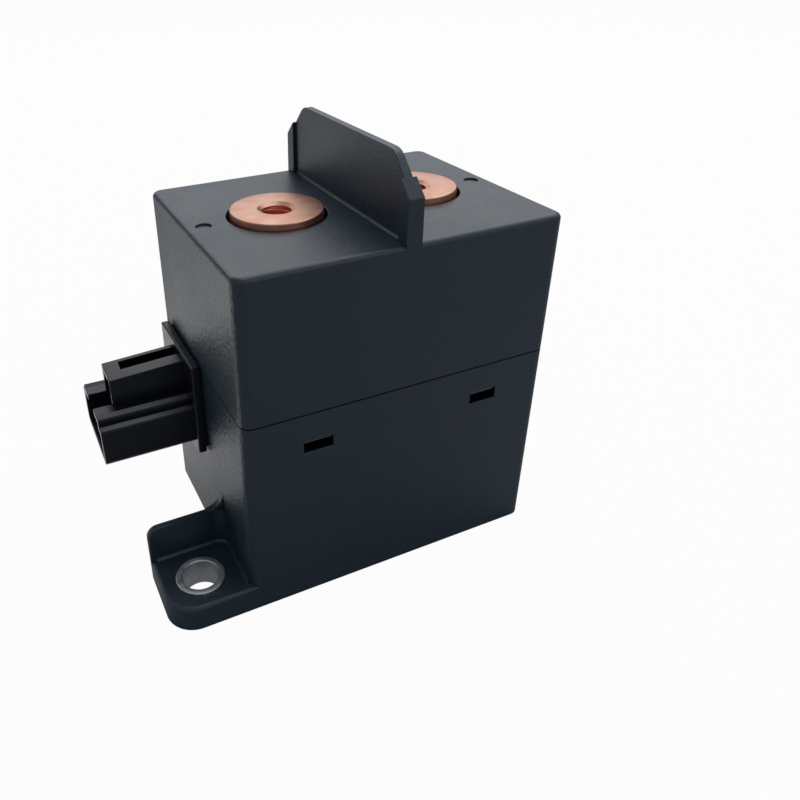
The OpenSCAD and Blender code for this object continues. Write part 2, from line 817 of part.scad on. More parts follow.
module connector_header() {
    arch_x = mouth_x + arch_back;
    tunnel_w = arch_w - 2 * arch_wall;
    tunnel_y1 = conn_y + tunnel_w / 2;
    color("#17191d")
        difference() {
            union() {
                along_x(flange_x, side_x - flange_groove_t)
                    flange_section(0);
                along_x(flange_x, side_x)
                    flange_section(flange_groove_w);
                along_x(mouth_x, flange_x + eps)
                    shroud_section(0);
                translate([0, conn_y + arch_w / 2, 0])
                    rotate([90, 0, 0])
                        linear_extrude(arch_w)
                            polygon([
                                [arch_x, shroud_z1 - eps], [flange_x + eps, shroud_z1 - eps],
                                [flange_x + eps, arch_z1 + arch_rise], [arch_x, arch_z1]
                            ]);
                span([side_x - eps, conn_y - neck_w / 2, blade_z - neck_h / 2],
                     [neck_x1, conn_y + neck_w / 2, blade_z + neck_h / 2]);
            }
            along_x(mouth_x - eps, socket_x1)
                shroud_section(shroud_wall);
            span([mouth_x - eps, conn_y - tunnel_w / 2, shroud_z1 - 2 * shroud_wall],
                 [socket_x1, tunnel_y1, arch_z1 - arch_wall]);
            span([arch_x + arch_strip, tunnel_y1 - arch_slot_w, arch_z1 - 2 * arch_wall],
                 [flange_x, tunnel_y1, arch_z1 + arch_rise + eps]);
            for (s = [-1, 1])
                span([socket_x1 - eps, conn_y + s * blade_pitch / 2 - blade_w / 2, blade_z - blade_t / 2],
                     [neck_x1 + eps, conn_y + s * blade_pitch / 2 + blade_w / 2, blade_z + blade_t / 2]);
        }
}

// Flat tin-plated blade with a tapered tip
module coil_blade(s) {
    taper = blade_w / 4;
    color("#b9b6ae")
        translate([0, conn_y + s * blade_pitch / 2, blade_z - blade_t / 2])
            linear_extrude(blade_t)
                polygon([
                    [blade_x0, -blade_w / 2 + taper], [blade_x0 + 2 * taper, -blade_w / 2],
                    [blade_x1, -blade_w / 2], [blade_x1, blade_w / 2],
                    [blade_x0 + 2 * taper, blade_w / 2], [blade_x0, blade_w / 2 - taper]
                ]);
}

module coil_blade_front() coil_blade(-1);
module coil_blade_rear() coil_blade(1);

// Insulated lead that curves from the bobbin's terminal block to a blade's tail
module coil_lead(s) {
    from = [block_x, s * blade_pitch / 2, block_z];
    to = [blade_x1, conn_y + s * blade_pitch / 2, blade_z];
    color(s < 0 ? "#1c1c1e" : "#a8323a")
        bent_wire(from, to, lead_d);
}

module coil_lead_front() coil_lead(-1);
module coil_lead_rear() coil_lead(1);

// Magnet system

module base_pad() {
    color("#3a3a3c")
        translate([-yoke_w / 2, -yoke_y1, floor_t])
            cube([yoke_w, 2 * yoke_y1, base_pad_t]);
}

// Strip bent to a U, with a tenon on each arm
module yoke_frame() {
    color("#8f9296")
        rotate([90, 0, 90]) {
            translate([0, 0, -yoke_w / 2])
                linear_extrude(yoke_w)
                    difference() {
                        union() {
                            translate([-yoke_y1, yoke_z0 + yoke_bend_r])
                                square([2 * yoke_y1, plate_z0 - yoke_z0 - yoke_bend_r]);
                            translate([-yoke_y1 + yoke_bend_r, yoke_z0])
                                square([2 * (yoke_y1 - yoke_bend_r), 2 * yoke_bend_r]);
                            for (s = [-1, 1])
                                translate([s * (yoke_y1 - yoke_bend_r), yoke_z0 + yoke_bend_r])
                                    circle(yoke_bend_r);
                        }
                        translate([-yoke_y1 + yoke_t, bobbin_z0])
                            square([2 * (yoke_y1 - yoke_t), plate_z0]);
                    }
            for (s = [0, 1])
                mirror([s, 0, 0])
                    translate([yoke_y1 - yoke_t, plate_z0 - eps, -tenon_w / 2])
                        cube([yoke_t, plate_t + eps, tenon_w]);
        }
}

module yoke_plate() {
    color("#8f9296")
        difference() {
            translate([0, 0, plate_z0])
                linear_extrude(plate_t)
                    round_rect(plate_l, 2 * yoke_y1, plate_corner_r);
            for (turn = [0, 180])
                rotate(turn)
                    span([-tenon_w / 2 - tenon_gap, yoke_y1 - yoke_t - tenon_gap, plate_z0 - eps],
                         [tenon_w / 2 + tenon_gap, body_w, plate_z1 + eps]);
            translate([0, 0, plate_z0 - eps])
                cylinder(d = spigot_d, h = plate_t + 2 * eps);
        }
}

// Spool with a terminal block for the leads under its upper flange
module coil_bobbin() {
    h = plate_z0 - bobbin_z0;
    seat = cup_out_r + cup_flange_w + cup_gap;
    color("#d8d2c2") {
        translate([0, 0, bobbin_z0])
            rotate_extrude()
                polygon([
                    [bobbin_bore_r, 0], [flange_rad, 0], [flange_rad, bobbin_flange_t],
                    [bobbin_tube_r, bobbin_flange_t], [bobbin_tube_r, h - bobbin_flange_t],
                    [flange_rad, h - bobbin_flange_t], [flange_rad, h], [seat, h],
                    [seat, h - cup_t], [bobbin_bore_r, h - cup_t]
                ]);
        span([block_x, -block_w / 2, plate_z0 - bobbin_flange_t],
             [block_out - flange_rad, block_w / 2, plate_z0]);
        span([block_x, -block_w / 2, block_z - lead_d],
             [-flange_rad, block_w / 2, plate_z0]);
    }
}

module coil_winding() {
    color("#a4532c")
        translate([0, 0, bobbin_z0 + bobbin_flange_t])
            difference() {
                cylinder(r = flange_rad - winding_inset, h = plate_z0 - bobbin_z0 - 2 * bobbin_flange_t);
                translate([0, 0, -eps])
                    cylinder(r = bobbin_tube_r, h = plate_z0);
            }
}

// Drawn cup that guides the plunger, closed below and flanged above
module guide_cup() {
    color("#b4b6b8")
        rotate_extrude()
            polygon([
                [0, bobbin_z0], [cup_out_r, bobbin_z0], [cup_out_r, plate_z0 - cup_t],
                [cup_out_r + cup_flange_w, plate_z0 - cup_t], [cup_out_r + cup_flange_w, plate_z0],
                [cup_in_r, plate_z0], [cup_in_r, bobbin_z0 + cup_t], [0, bobbin_z0 + cup_t]
            ]);
}

module damper_pad() {
    color("#2a2a2a")
        translate([0, 0, bobbin_z0 + cup_t])
            cylinder(r = cup_in_r - plunger_gap, h = damper_t);
}

module fixed_core() {
    color("#84878b")
        difference() {
            union() {
                translate([0, 0, core_z0])
                    cylinder(d = plunger_d, h = core_l);
                translate([0, 0, core_z0])
                    cylinder(d = spigot_d, h = core_l + plate_t);
            }
            translate([0, 0, core_z0 - eps])
                cylinder(d = return_pocket_d, h = return_z1 - core_z0 + eps);
            translate([0, 0, core_z0 - eps])
                cylinder(d = shaft_bore_d, h = core_l + plate_t + 2 * eps);
        }
}

module plunger() {
    color("#84878b")
        difference() {
            translate([0, 0, plunger_z0])
                cylinder(d = plunger_d, h = plunger_z1 - plunger_z0);
            translate([0, 0, return_z0])
                cylinder(d = return_pocket_d, h = plunger_pocket + eps);
            translate([0, 0, return_z0 - shaft_press_l])
                cylinder(d = shaft_d, h = shaft_press_l + eps);
        }
}

module drive_shaft() {
    color("#c4c6c8")
        difference() {
            translate([0, 0, return_z0 - shaft_press_l])
                cylinder(d = shaft_d, h = shaft_z1 - return_z0 + shaft_press_l);
            translate([0, 0, bridge_z1])
                difference() {
                    cylinder(d = shaft_d + 2 * eps, h = clip_t);
                    translate([0, 0, -eps])
                        cylinder(d = shaft_d - 2 * groove, h = clip_t + 2 * eps);
                }
        }
}

module return_spring() {
    color("#a9abad")
        compression_spring(return_spring_d, return_wire_d, return_z0, return_z1, return_turns);
}

// Moving contact

module spring_seat() {
    color("#b4b6b8")
        translate([0, 0, seat_z0])
            difference() {
                cylinder(d = seat_d, h = seat_t);
                translate([0, 0, -eps])
                    cylinder(d = shaft_d, h = seat_t + 2 * eps);
            }
}

module contact_spring() {
    color("#a9abad")
        compression_spring(contact_spring_d, contact_wire_d, seat_z1, bridge_z0, contact_turns);
}

// Copper bar with round ends that joins the two fixed contacts
module contact_bridge() {
    color("#d39377")
        difference() {
            union() {
                translate([0, 0, bridge_z0])
                    linear_extrude(bridge_t)
                        round_rect(terminal_pitch + 2 * bridge_end, bridge_w, bridge_corner_r);
                for (sx = [-1, 1])
                    translate([sx * terminal_x, 0, bridge_z0])
                        cylinder(d = button_d, h = bridge_t + button_h);
            }
            translate([0, 0, bridge_z0 - eps])
                cylinder(d = shaft_bore_d, h = bridge_t + 2 * eps);
        }
}

// Snap ring in the shaft's groove, open on one side
module retaining_clip() {
    mouth = shaft_d - 2 * groove;
    color("#55585c")
        translate([0, 0, bridge_z1])
            difference() {
                cylinder(d = clip_d, h = clip_t);
                translate([0, 0, -eps])
                    cylinder(d = mouth, h = clip_t + 2 * eps);
                translate([0, -mouth / 2, -eps])
                    cube([clip_d, mouth, clip_t + 2 * eps]);
            }
}

// Contact chamber

module ceramic_chamber() {
    color("#ece8e0")
        difference() {
            translate([0, 0, chamber_z0])
                linear_extrude(chamber_h)
                    round_rect(chamber_l, chamber_w, chamber_corner_r);
            translate([0, 0, chamber_z0 - eps])
                linear_extrude(chamber_h - chamber_wall + eps)
                    round_rect(chamber_in_l, chamber_in_w, chamber_inner_r);
            for (sx = [-1, 1])
                translate([sx * terminal_x, 0, chamber_z0])
                    cylinder(d = stem_hole_d, h = chamber_h + eps);
            translate([0, 0, chamber_z0])
                cylinder(d = tube_d, h = chamber_h + eps);
        }
}

// Metal ring with a weld flange that joins the chamber to the yoke plate
module chamber_ring() {
    color("#b4b6b8")
        translate([0, 0, plate_z1])
            difference() {
                union() {
                    linear_extrude(ring_h)
                        round_rect(ring_l, ring_w, ring_r + ring_t);
                    linear_extrude(ring_flange_t)
                        round_rect(ring_l + 2 * ring_flange_w, ring_w + 2 * ring_flange_w, ring_r + ring_t);
                }
                translate([0, 0, -eps])
                    linear_extrude(ring_h + 2 * eps)
                        round_rect(ring_l - 2 * ring_t, ring_w - 2 * ring_t, ring_r);
            }
}

module braze_washer(side) {
    color("#c9a24a")
        translate([side * terminal_x, 0, chamber_z1])
            difference() {
                cylinder(d = washer_d, h = washer_t);
                translate([0, 0, -eps])
                    cylinder(d = stem_d, h = washer_t + 2 * eps);
            }
}

module braze_washer_left() braze_washer(-1);
module braze_washer_right() braze_washer(1);

// Plastic tray that keeps the arc off the ring and the yoke plate
module arc_shield() {
    l = chamber_in_l - 2 * shield_gap;
    w = chamber_in_w - 2 * shield_gap;
    color("#e3ddcc")
        translate([0, 0, plate_z1])
            difference() {
                linear_extrude(shield_h)
                    round_rect(l, w, chamber_inner_r);
                translate([0, 0, shield_t])
                    linear_extrude(shield_h)
                        round_rect(l - 2 * shield_t, w - 2 * shield_t, chamber_inner_r / 2);
                translate([0, 0, -eps])
                    cylinder(d = shaft_bore_d, h = shield_t + 2 * eps);
            }
}

// Copper tube through the chamber's roof, pinched shut above
module gas_fill_tube() {
    pinch = 2 * tube_wall;
    color("#c98a5e")
        difference() {
            translate([0, 0, chamber_z1 - chamber_wall])
                cylinder(d = tube_d, h = chamber_wall + tube_h);
            translate([0, 0, chamber_z1 - chamber_wall - eps])
                cylinder(d = tube_d - 2 * tube_wall, h = chamber_wall + eps);
            for (turn = [0, 180])
                rotate(turn)
                    translate([-tube_d, pinch / 2, chamber_z1 + tube_h / 2])
                        cube([2 * tube_d, tube_d, tube_h]);
        }
}

module magnet(side) {
    y = chamber_w / 2 + magnet_t / 2;
    color("#6d7074")
        translate([0, side * y, chamber_z0 + (chamber_h - magnet_h) / 2])
            linear_extrude(magnet_h)
                round_rect(magnet_l, magnet_t, magnet_edge_r);
}

module magnet_front() magnet(-1);
module magnet_rear() magnet(1);

module backing_plate(side) {
    y = chamber_w / 2 + magnet_t + backing_t / 2;
    color("#8f9296")
        translate([0, side * y, chamber_z0])
            linear_extrude(chamber_h)
                square([magnet_l + 2 * backing_over, backing_t], center = true);
}

module backing_plate_front() backing_plate(-1);
module backing_plate_rear() backing_plate(1);

base_housing();
top_cover();
terminal_left();
terminal_right();
mount_bush_front();
mount_bush_rear();
connector_header();
coil_blade_front();
coil_blade_rear();
coil_lead_front();
coil_lead_rear();
base_pad();
yoke_frame();
yoke_plate();
coil_bobbin();
coil_winding();
guide_cup();
damper_pad();
fixed_core();
plunger();
drive_shaft();
return_spring();
spring_seat();
contact_spring();
contact_bridge();
retaining_clip();
ceramic_chamber();
chamber_ring();
braze_washer_left();
braze_washer_right();
arc_shield();
gas_fill_tube();
magnet_front();
magnet_rear();
backing_plate_front();
backing_plate_rear();
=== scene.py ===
"""Looks of a high voltage DC contactor: moulded shells, turned terminals, bushes, coil and studio."""

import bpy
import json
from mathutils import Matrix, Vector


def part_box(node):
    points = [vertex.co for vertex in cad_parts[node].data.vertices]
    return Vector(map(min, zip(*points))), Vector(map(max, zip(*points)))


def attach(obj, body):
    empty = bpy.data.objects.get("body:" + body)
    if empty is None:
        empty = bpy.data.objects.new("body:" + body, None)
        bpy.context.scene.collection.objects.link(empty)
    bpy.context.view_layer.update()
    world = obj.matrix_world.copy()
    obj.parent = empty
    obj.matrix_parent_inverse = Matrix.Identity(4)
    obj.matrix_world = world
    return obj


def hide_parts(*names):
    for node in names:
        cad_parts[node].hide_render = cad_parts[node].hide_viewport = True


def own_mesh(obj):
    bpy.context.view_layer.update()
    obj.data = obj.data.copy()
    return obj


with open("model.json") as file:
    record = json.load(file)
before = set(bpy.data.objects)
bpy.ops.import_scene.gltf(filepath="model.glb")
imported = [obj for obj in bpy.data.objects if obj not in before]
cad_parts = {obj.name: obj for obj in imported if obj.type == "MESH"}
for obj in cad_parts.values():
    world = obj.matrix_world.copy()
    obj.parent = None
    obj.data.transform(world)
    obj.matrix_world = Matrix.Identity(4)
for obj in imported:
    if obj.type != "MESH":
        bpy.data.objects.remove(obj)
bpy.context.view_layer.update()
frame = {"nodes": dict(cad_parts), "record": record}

import json
import math

import bmesh
import bpy
from bpy.props import FloatProperty, FloatVectorProperty, IntProperty, PointerProperty
from mathutils import Matrix, Vector
from mathutils.bvhtree import BVHTree
from mathutils.geometry import intersect_point_line

bl_info = {
    "name": "Contactor looks",
    "version": (1, 0, 0),
    "blender": (4, 5, 0),
    "location": "3D View > Sidebar > Contactor",
    "description": "Finishes and fine shapes of a high voltage DC contactor around its solid model",
    "category": "Object",
}

NODES = frame["nodes"]
MOUNTS = {mount["name"]: mount for mount in frame["record"]["mounts"]}
MM = 0.001
FULL_TURN = 2 * math.pi

# Points this close are one, and a normal with this share along an axis faces along it
WELD = 2e-6
FACING = 0.99

# Faces within FLAT are made one, edges that turn by more than SHARP get a round, shading breaks at a CREASE
FLAT = math.radians(0.5)
SHARP = math.radians(30)
CREASE = math.radians(40)

# Faces across a round, tries to make a piece without colliding rounds, and radii kept from a collision
ROUND_STEPS = 4
ROUND_TRIES = 6
ROUND_CLEARANCE = 3

# Gap that the terminals keep to the closed bridge
CONTACT_GAP = 0.02 * MM

TERMINALS = ("terminal_left", "terminal_right")
BUSHES = {"mount_bush_front": "foot_bore_front", "mount_bush_rear": "foot_bore_rear"}
BLADES = ("coil_blade_front", "coil_blade_rear")


# Sizes and colours that a user would change

def length(label, about, default):
    return FloatProperty(name=label, description=about, default=default, unit="LENGTH", precision=5)


def share(label, about, default):
    return FloatProperty(name=label, description=about, default=default, subtype="FACTOR", min=0, max=1)


def colour(label, about, default):
    return FloatVectorProperty(name=label, description=about, default=default, subtype="COLOR",
                               size=3, min=0, max=1)


def place(label, about, default):
    return FloatVectorProperty(name=label, description=about, default=default, subtype="XYZ",
                               unit="LENGTH", size=3)


def angle(label, about, degrees):
    return FloatProperty(name=label, description=about, default=math.radians(degrees), subtype="ANGLE")


class MouldingSettings(bpy.types.PropertyGroup):
    """Black mouldings: base, cover and coil connector."""

    housing_colour: colour("Housing", "Plastic of the base and the cover", (0.006, 0.021, 0.035))
    connector_colour: colour("Connector", "Plastic of the coil connector", (0.003, 0.004, 0.009))
    # Painted highlight: pale grey on the upright strip of the latch hooks, standing in for light on its edge
    hook_highlight_colour: colour("Hook", "Rubbed strip on the latch hooks", (0.085, 0.085, 0.09))
    housing_roughness: share("Housing roughness", "Sheen of the base and the cover", 0.42)
    connector_roughness: share("Connector roughness", "Sheen of the coil connector", 0.3)
    housing_edge: length("Housing edge", "Round on the sharp edges of base and cover", 0.16 * MM)
    foot_edge: length("Foot edge", "Round on the upper edges of the feet", 0.45 * MM)
    connector_edge: length("Connector edge", "Round on the edges of the connector", 0.15 * MM)
    flange_edge: length("Flange edge", "Round on the rim of the connector's flange", 0.35 * MM)
    ledge_edge: length("Ledge edge", "Round along the ledges of the connector's shroud", 0.35 * MM)
    flank: length("Flank", "Distance from the socket's middle at which the shroud's ledges begin", 6.5 * MM)
    grain: length("Grain", "Size of the spark-eroded grain", 0.7 * MM)
    grain_height: length("Grain height", "Depth of the spark-eroded grain", 0.18 * MM)
    skin: length("Skin", "Depth below the outer faces in which edges are rounded", 0.9 * MM)
    dimple: length("Dimple", "Depth at which the floors of the witness dimples show", 0.35 * MM)
    hook_land: length("Hook land", "Height of the upright strip on the latch hooks", 0.4 * MM)


class TerminalSettings(bpy.types.PropertyGroup):
    """Turned copper terminals and steel bushes."""

    copper_colour: colour("Copper", "Freshly turned copper", (0.63, 0.37, 0.275))
    stain_colour: colour("Stain", "Copper where it has begun to darken", (0.52, 0.25, 0.17))
    # Redder copper of the sides and the tapped hole, painted brighter than the faced copper as painted light
    # in the hole
    side_colour: colour("Sides", "Copper on the sides and inside the tapped hole", (0.9, 0.34, 0.2))
    copper_roughness: share("Copper roughness", "Sheen of the turned copper", 0.4)
    steel_colour: colour("Steel", "Zinc-plated steel of the bushes", (0.68, 0.69, 0.72))
    steel_roughness: share("Steel roughness", "Sheen of the bushes", 0.38)
    thread_pitch: length("Thread pitch", "Pitch of the M6 thread", 1.0 * MM)
    thread_depth: length("Thread depth", "Depth of the M6 thread", 0.54 * MM)
    pad_edge: length("Pad edge", "Round on the rim of the copper pad", 0.22 * MM)
    sink: length("Countersink", "Width of the countersink round the tapped hole", 0.75 * MM)
    sink_depth: length("Countersink depth", "Depth of the countersink", 0.5 * MM)
    bush_edge: length("Bush edge", "Round on the ends of a bush", 0.2 * MM)
    turning_pitch: length("Turning pitch", "Distance between two tool marks on the copper", 0.45 * MM)
    segments: IntProperty(name="Segments", description="Faces round a turned piece", default=96, min=24)


class MechanismSettings(bpy.types.PropertyGroup):
    """Springs, coil and coil blades."""

    return_wire: length("Return spring wire", "Wire of the return spring", 0.8 * MM)
    return_turns: IntProperty(name="Return spring turns", description="Turns of the spring", default=6)
    contact_wire: length("Contact spring wire", "Wire of the contact spring", 1.0 * MM)
    contact_turns: IntProperty(name="Contact spring turns", description="Turns of the spring", default=4)
    coil_wire: length("Coil wire", "Enamelled wire of the coil", 0.45 * MM)
    blade_edge: length("Blade edge", "Round on the edges of a coil blade", 0.12 * MM)


class StudioSettings(bpy.types.PropertyGroup):
    """Camera, floor and lights."""

    camera_place: place("Camera", "Place of the camera", (-0.05798, -0.11035, 0.10726))
    azimuth: angle("Azimuth", "Turn of the camera round the part", -23.94)
    elevation: angle("Elevation", "Height of the camera above the horizon", 28.97)
    roll: angle("Roll", "Turn of the picture", -1.19)
    focal: FloatProperty(name="Focal length", description="Lens on a 36 mm wide picture", default=33.77,
                         unit="CAMERA")
    shift_x: FloatProperty(name="Shift X", description="Picture's shift to the right", default=0.1227)
    shift_y: FloatProperty(name="Shift Y", description="Picture's shift upwards", default=-0.0853)
    floor_size: length("Floor", "Side of the floor", 8.0)
    floor_colour: colour("Floor colour", "Grey that the floor shows to the part", (0.45, 0.45, 0.45))
    floor_white: share("Floor white", "Share of plain white in the floor that the camera sees", 0.97)
    sky: FloatProperty(name="Sky", description="Light from all round", default=0.3)
    sky_colour: colour("Sky colour", "Tint of the light from all round", (0.75, 0.87, 1.0))
    key_power: FloatProperty(name="Key", description="Softbox behind the part", default=2.15,
                             unit="POWER")
    top_power: FloatProperty(name="Top", description="Softbox above", default=2.05, unit="POWER")
    front_power: FloatProperty(name="Front", description="Small softbox in front", default=0.4,
                               unit="POWER")


# Node trees

class NodeLayout:
    """Short way to lay out one node tree."""

    def __init__(self, tree):
        self.tree = tree

    def feed(self, socket, value):
        """Links an input to an output, or sets it to a plain value."""
        if isinstance(value, bpy.types.NodeSocket):
            self.tree.links.new(value, socket)
        else:
            socket.default_value = value

    def node(self, kind, values=None, **settings):
        """Adds a node with those inputs, by name or number, and settings, and gives its outputs."""
        made = self.tree.nodes.new(kind)
        for key, value in settings.items():
            setattr(made, key, value)
        for label, value in (values or {}).items():
            self.feed(made.inputs[label], value)
        return made.outputs

    def math(self, operation, *values, clamp=False):
        inputs = dict(enumerate(values))
        return self.node("ShaderNodeMath", inputs, operation=operation, use_clamp=clamp)["Value"]

    def apart(self, value, middle):
        """Distance of a value from a middle one."""
        return self.math("ABSOLUTE", self.math("SUBTRACT", value, middle))

    def vector(self, operation, *values):
        inputs = dict(enumerate(values))
        return self.node("ShaderNodeVectorMath", inputs, operation=operation)["Vector"]

    def spread(self, value, low, high, start=0.3, end=0.7):
        """Maps a value from start..end to low..high."""
        return self.node("ShaderNodeMapRange", {
            "Value": value, "From Min": start, "From Max": end, "To Min": low, "To Max": high,
        })["Result"]


def scaled(tint, factor):
    return tuple(min(1.0, part * factor) for part in tint)


class Finish(NodeLayout):
    """One procedural material on Object coordinates."""

    def __init__(self, name, **constants):
        self.material = bpy.data.materials.new(name)
        self.material.use_nodes = True
        super().__init__(self.material.node_tree)
        self.shader = self.tree.nodes["Principled BSDF"]
        self.place = self.node("ShaderNodeTexCoord")["Object"]
        self.paint(**constants)

    def paint(self, **values):
        """Sets or links the shader's inputs, named with underscores for spaces."""
        for label, value in values.items():
            self.feed(self.shader.inputs[label.replace("_", " ")], value)

    def parts(self):
        """The place on the piece as X, Y and Z."""
        return self.node("ShaderNodeSeparateXYZ", {"Vector": self.place})

    def noise(self, size, detail=2.0, stretch=(1, 1, 1)):
        """Noise with features of about that size in metres, drawn out along the axes with a small stretch."""
        drawn = self.node("ShaderNodeMapping", {"Vector": self.place, "Scale": stretch})["Vector"]
        return self.node("ShaderNodeTexNoise", {"Vector": drawn, "Scale": 1 / size, "Detail": detail})["Fac"]

    def mix(self, amount, first, second):
        """A colour between two others, which are tints or sockets."""
        made = self.tree.nodes.new("ShaderNodeMix")
        made.data_type = "RGBA"
        self.feed(made.inputs["Factor"], amount)
        for socket, value in zip((s for s in made.inputs if s.type == "RGBA"), (first, second)):
            self.feed(socket, value if isinstance(value, bpy.types.NodeSocket) else (*value, 1))
        return next(s for s in made.outputs if s.type == "RGBA")

    def mottle(self, cloud, tint, darkest, lightest):
        """The tint times a factor that follows a cloud."""
        return self.mix(self.spread(cloud, 0, 1), scaled(tint, darkest), scaled(tint, lightest))

    def drift(self, cloud, middle, down, up):
        """A value that drifts below and above its middle as a cloud goes."""
        return self.spread(cloud, middle - down, middle + up)

    def bump(self, height, depth, strength=1.0, under=None):
        """Roughens the surface by a height, on top of an earlier normal if one is given."""
        values = {"Height": height, "Distance": depth, "Strength": strength}
        if under:
            values["Normal"] = under
        normal = self.node("ShaderNodeBump", values)["Normal"]
        self.paint(Normal=normal)
        return normal


# Materials

def latch_shade(finish, parts, reach, window):
    """Masks of the latch hooks for painted highlight and shade: the whole of what lies sunk in a window, and
    its slope below the land.
    """
    sunk_by, sunk_fade = 0.3 * MM, 0.1 * MM
    corner, corner_fade = 3 * MM, 1 * MM
    fade = 0.05 * MM
    low, land, top = window
    half = (top - low) / 2
    beside = finish.math("ABSOLUTE", parts["X"])
    ahead = finish.math("ABSOLUTE", parts["Y"])
    height = finish.apart(parts["Z"], (low + top) / 2)
    sunk = finish.spread(ahead, 1, 0, reach.y - sunk_by - sunk_fade, reach.y - sunk_by)
    inner = finish.spread(beside, 1, 0, reach.x - corner - corner_fade, reach.x - corner)
    level = finish.spread(height, 1, 0, half, half + fade)
    hook = finish.math("MULTIPLY", finish.math("MULTIPLY", sunk, inner), level)
    below = finish.spread(parts["Z"], 1, 0, land - fade, land)
    return hook, finish.math("MULTIPLY", hook, below)


def moulded_plastic(name, moulding, reach, window):
    """Black plastic with draw marks, drifting sheen, grain coarsest on the sides, and latch windows with a
    painted highlight on the hook lands and painted shade on the hook slopes.
    """
    finish = Finish(name, IOR=1.5)
    tint = moulding.housing_colour
    painted_slope_shade = 0.1
    parts = finish.parts()
    cloud = finish.noise(14 * MM, detail=3)
    streak = finish.noise(1.2 * MM, detail=3, stretch=(1, 1, 0.12))
    grain = finish.noise(moulding.grain, detail=3)
    worn = finish.math("ADD", finish.math("MULTIPLY", cloud, 0.5), finish.math("MULTIPLY", grain, 0.5))
    hook, slope = latch_shade(finish, parts, reach, window)
    # Painted highlight: what lies sunk in a latch window takes the pale hook colour
    with_hook_highlight = finish.mix(hook, finish.mottle(worn, tint, darkest=0.8, lightest=1.3), moulding.hook_highlight_colour)
    # Painted shade: the hook slopes take a tenth of the tint and no specular reflection, standing in for the
    # shade in the latch windows
    finish.paint(
        Base_Color=finish.mix(slope, with_hook_highlight, scaled(tint, painted_slope_shade)),
        Roughness=finish.drift(worn, moulding.housing_roughness, down=0.05, up=0.06),
        Specular_IOR_Level=finish.spread(slope, low=0.75, high=0.0, start=0, end=1),
    )
    slow = finish.bump(finish.noise(9 * MM, detail=1), depth=0.02 * MM, strength=0.5)
    drawn = finish.bump(streak, depth=0.005 * MM, strength=0.5, under=slow)
    inset = finish.apart(finish.math("ABSOLUTE", parts["X"]), reach.x)
    coarse = finish.spread(inset, low=1.0, high=0.25, start=0.3 * MM, end=0.6 * MM)
    finish.bump(finish.math("MULTIPLY", grain, coarse), depth=moulding.grain_height, under=drawn)
    return finish.material


def leaning_ledges(finish, middle, ledges):
    """Mask of level ledges beside the middle plane, and a shading normal that leans outwards there as if
    those faces leaned.
    """
    lean = 0.45
    level_from, level_to = 0.03 * MM, 0.08 * MM
    start_fade = 0.2 * MM
    parts = finish.parts()
    aside = finish.math("SUBTRACT", parts["Y"], middle)
    mask = 0.0
    for height, start in ledges:
        level = finish.spread(finish.apart(parts["Z"], height), 1, 0, level_from, level_to)
        outer = finish.spread(finish.math("ABSOLUTE", aside), 0, 1, start, start + start_fade)
        mask = finish.math("MULTIPLY_ADD", level, outer, mask)
    side = finish.math("MULTIPLY", finish.math("SIGN", aside), lean)
    outwards = finish.node("ShaderNodeCombineXYZ", {"Y": finish.math("MULTIPLY", mask, side)})["Vector"]
    leaning = finish.vector("ADD", finish.node("ShaderNodeNewGeometry")["Normal"], outwards)
    return mask, finish.vector("NORMALIZE", leaning)


def connector_plastic(name, moulding, middle, ledges):
    """Smooth, glossier plastic with faint flow marks along the connector and a shine on its ledges."""
    finish = Finish(name, IOR=1.5)
    flow = finish.noise(1.5 * MM, detail=3, stretch=(0.15, 1, 1))
    ledge, leaning = leaning_ledges(finish, middle, ledges)
    finish.paint(
        Base_Color=finish.mottle(flow, moulding.connector_colour, darkest=1.0, lightest=1.7),
        Roughness=finish.drift(flow, moulding.connector_roughness, down=0.05, up=0.08),
        Specular_IOR_Level=finish.spread(ledge, low=0.4, high=0.7, start=0, end=1),
    )
    finish.bump(finish.noise(2 * MM, detail=2), depth=0.004 * MM, strength=0.4, under=leaning)
    return finish.material


def turned_copper(name, terminal, axis_x, top):
    """Bare copper faced on a lathe: rings about each axis, a first stain, and sides and hole in a redder
    copper that is painted brighter to stand in for light reaching into the hole.
    """
    finish = Finish(name, Metallic=1.0)
    parts = finish.parts()
    across = finish.math("SUBTRACT", finish.math("ABSOLUTE", parts["X"]), axis_x)
    square = finish.math("ADD", finish.math("POWER", across, 2.0), finish.math("POWER", parts["Y"], 2.0))
    turns = finish.math("MULTIPLY", finish.math("SQRT", square), FULL_TURN / terminal.turning_pitch)
    rings = finish.spread(finish.math("SINE", turns), low=0, high=0.08, start=-1, end=1)
    stain = finish.spread(finish.noise(5 * MM, detail=2), low=0, high=1, start=0.4, end=0.75)
    # Partly painted light: below the top the copper turns redder, and brighter to lighten the sides and the
    # hole
    sides = finish.spread(parts["Z"], low=1, high=0, start=top - 1.0 * MM, end=top - 0.25 * MM)
    faced = finish.mix(stain, terminal.copper_colour, terminal.stain_colour)
    marked = finish.mix(rings, faced, terminal.stain_colour)
    finish.paint(
        Base_Color=finish.mix(sides, marked, terminal.side_colour),
        Roughness=finish.drift(finish.noise(2 * MM, detail=2), terminal.copper_roughness, down=0.03, up=0.05),
    )
    finish.bump(finish.noise(6 * MM, detail=1), depth=0.006 * MM, strength=0.4)
    return finish.material


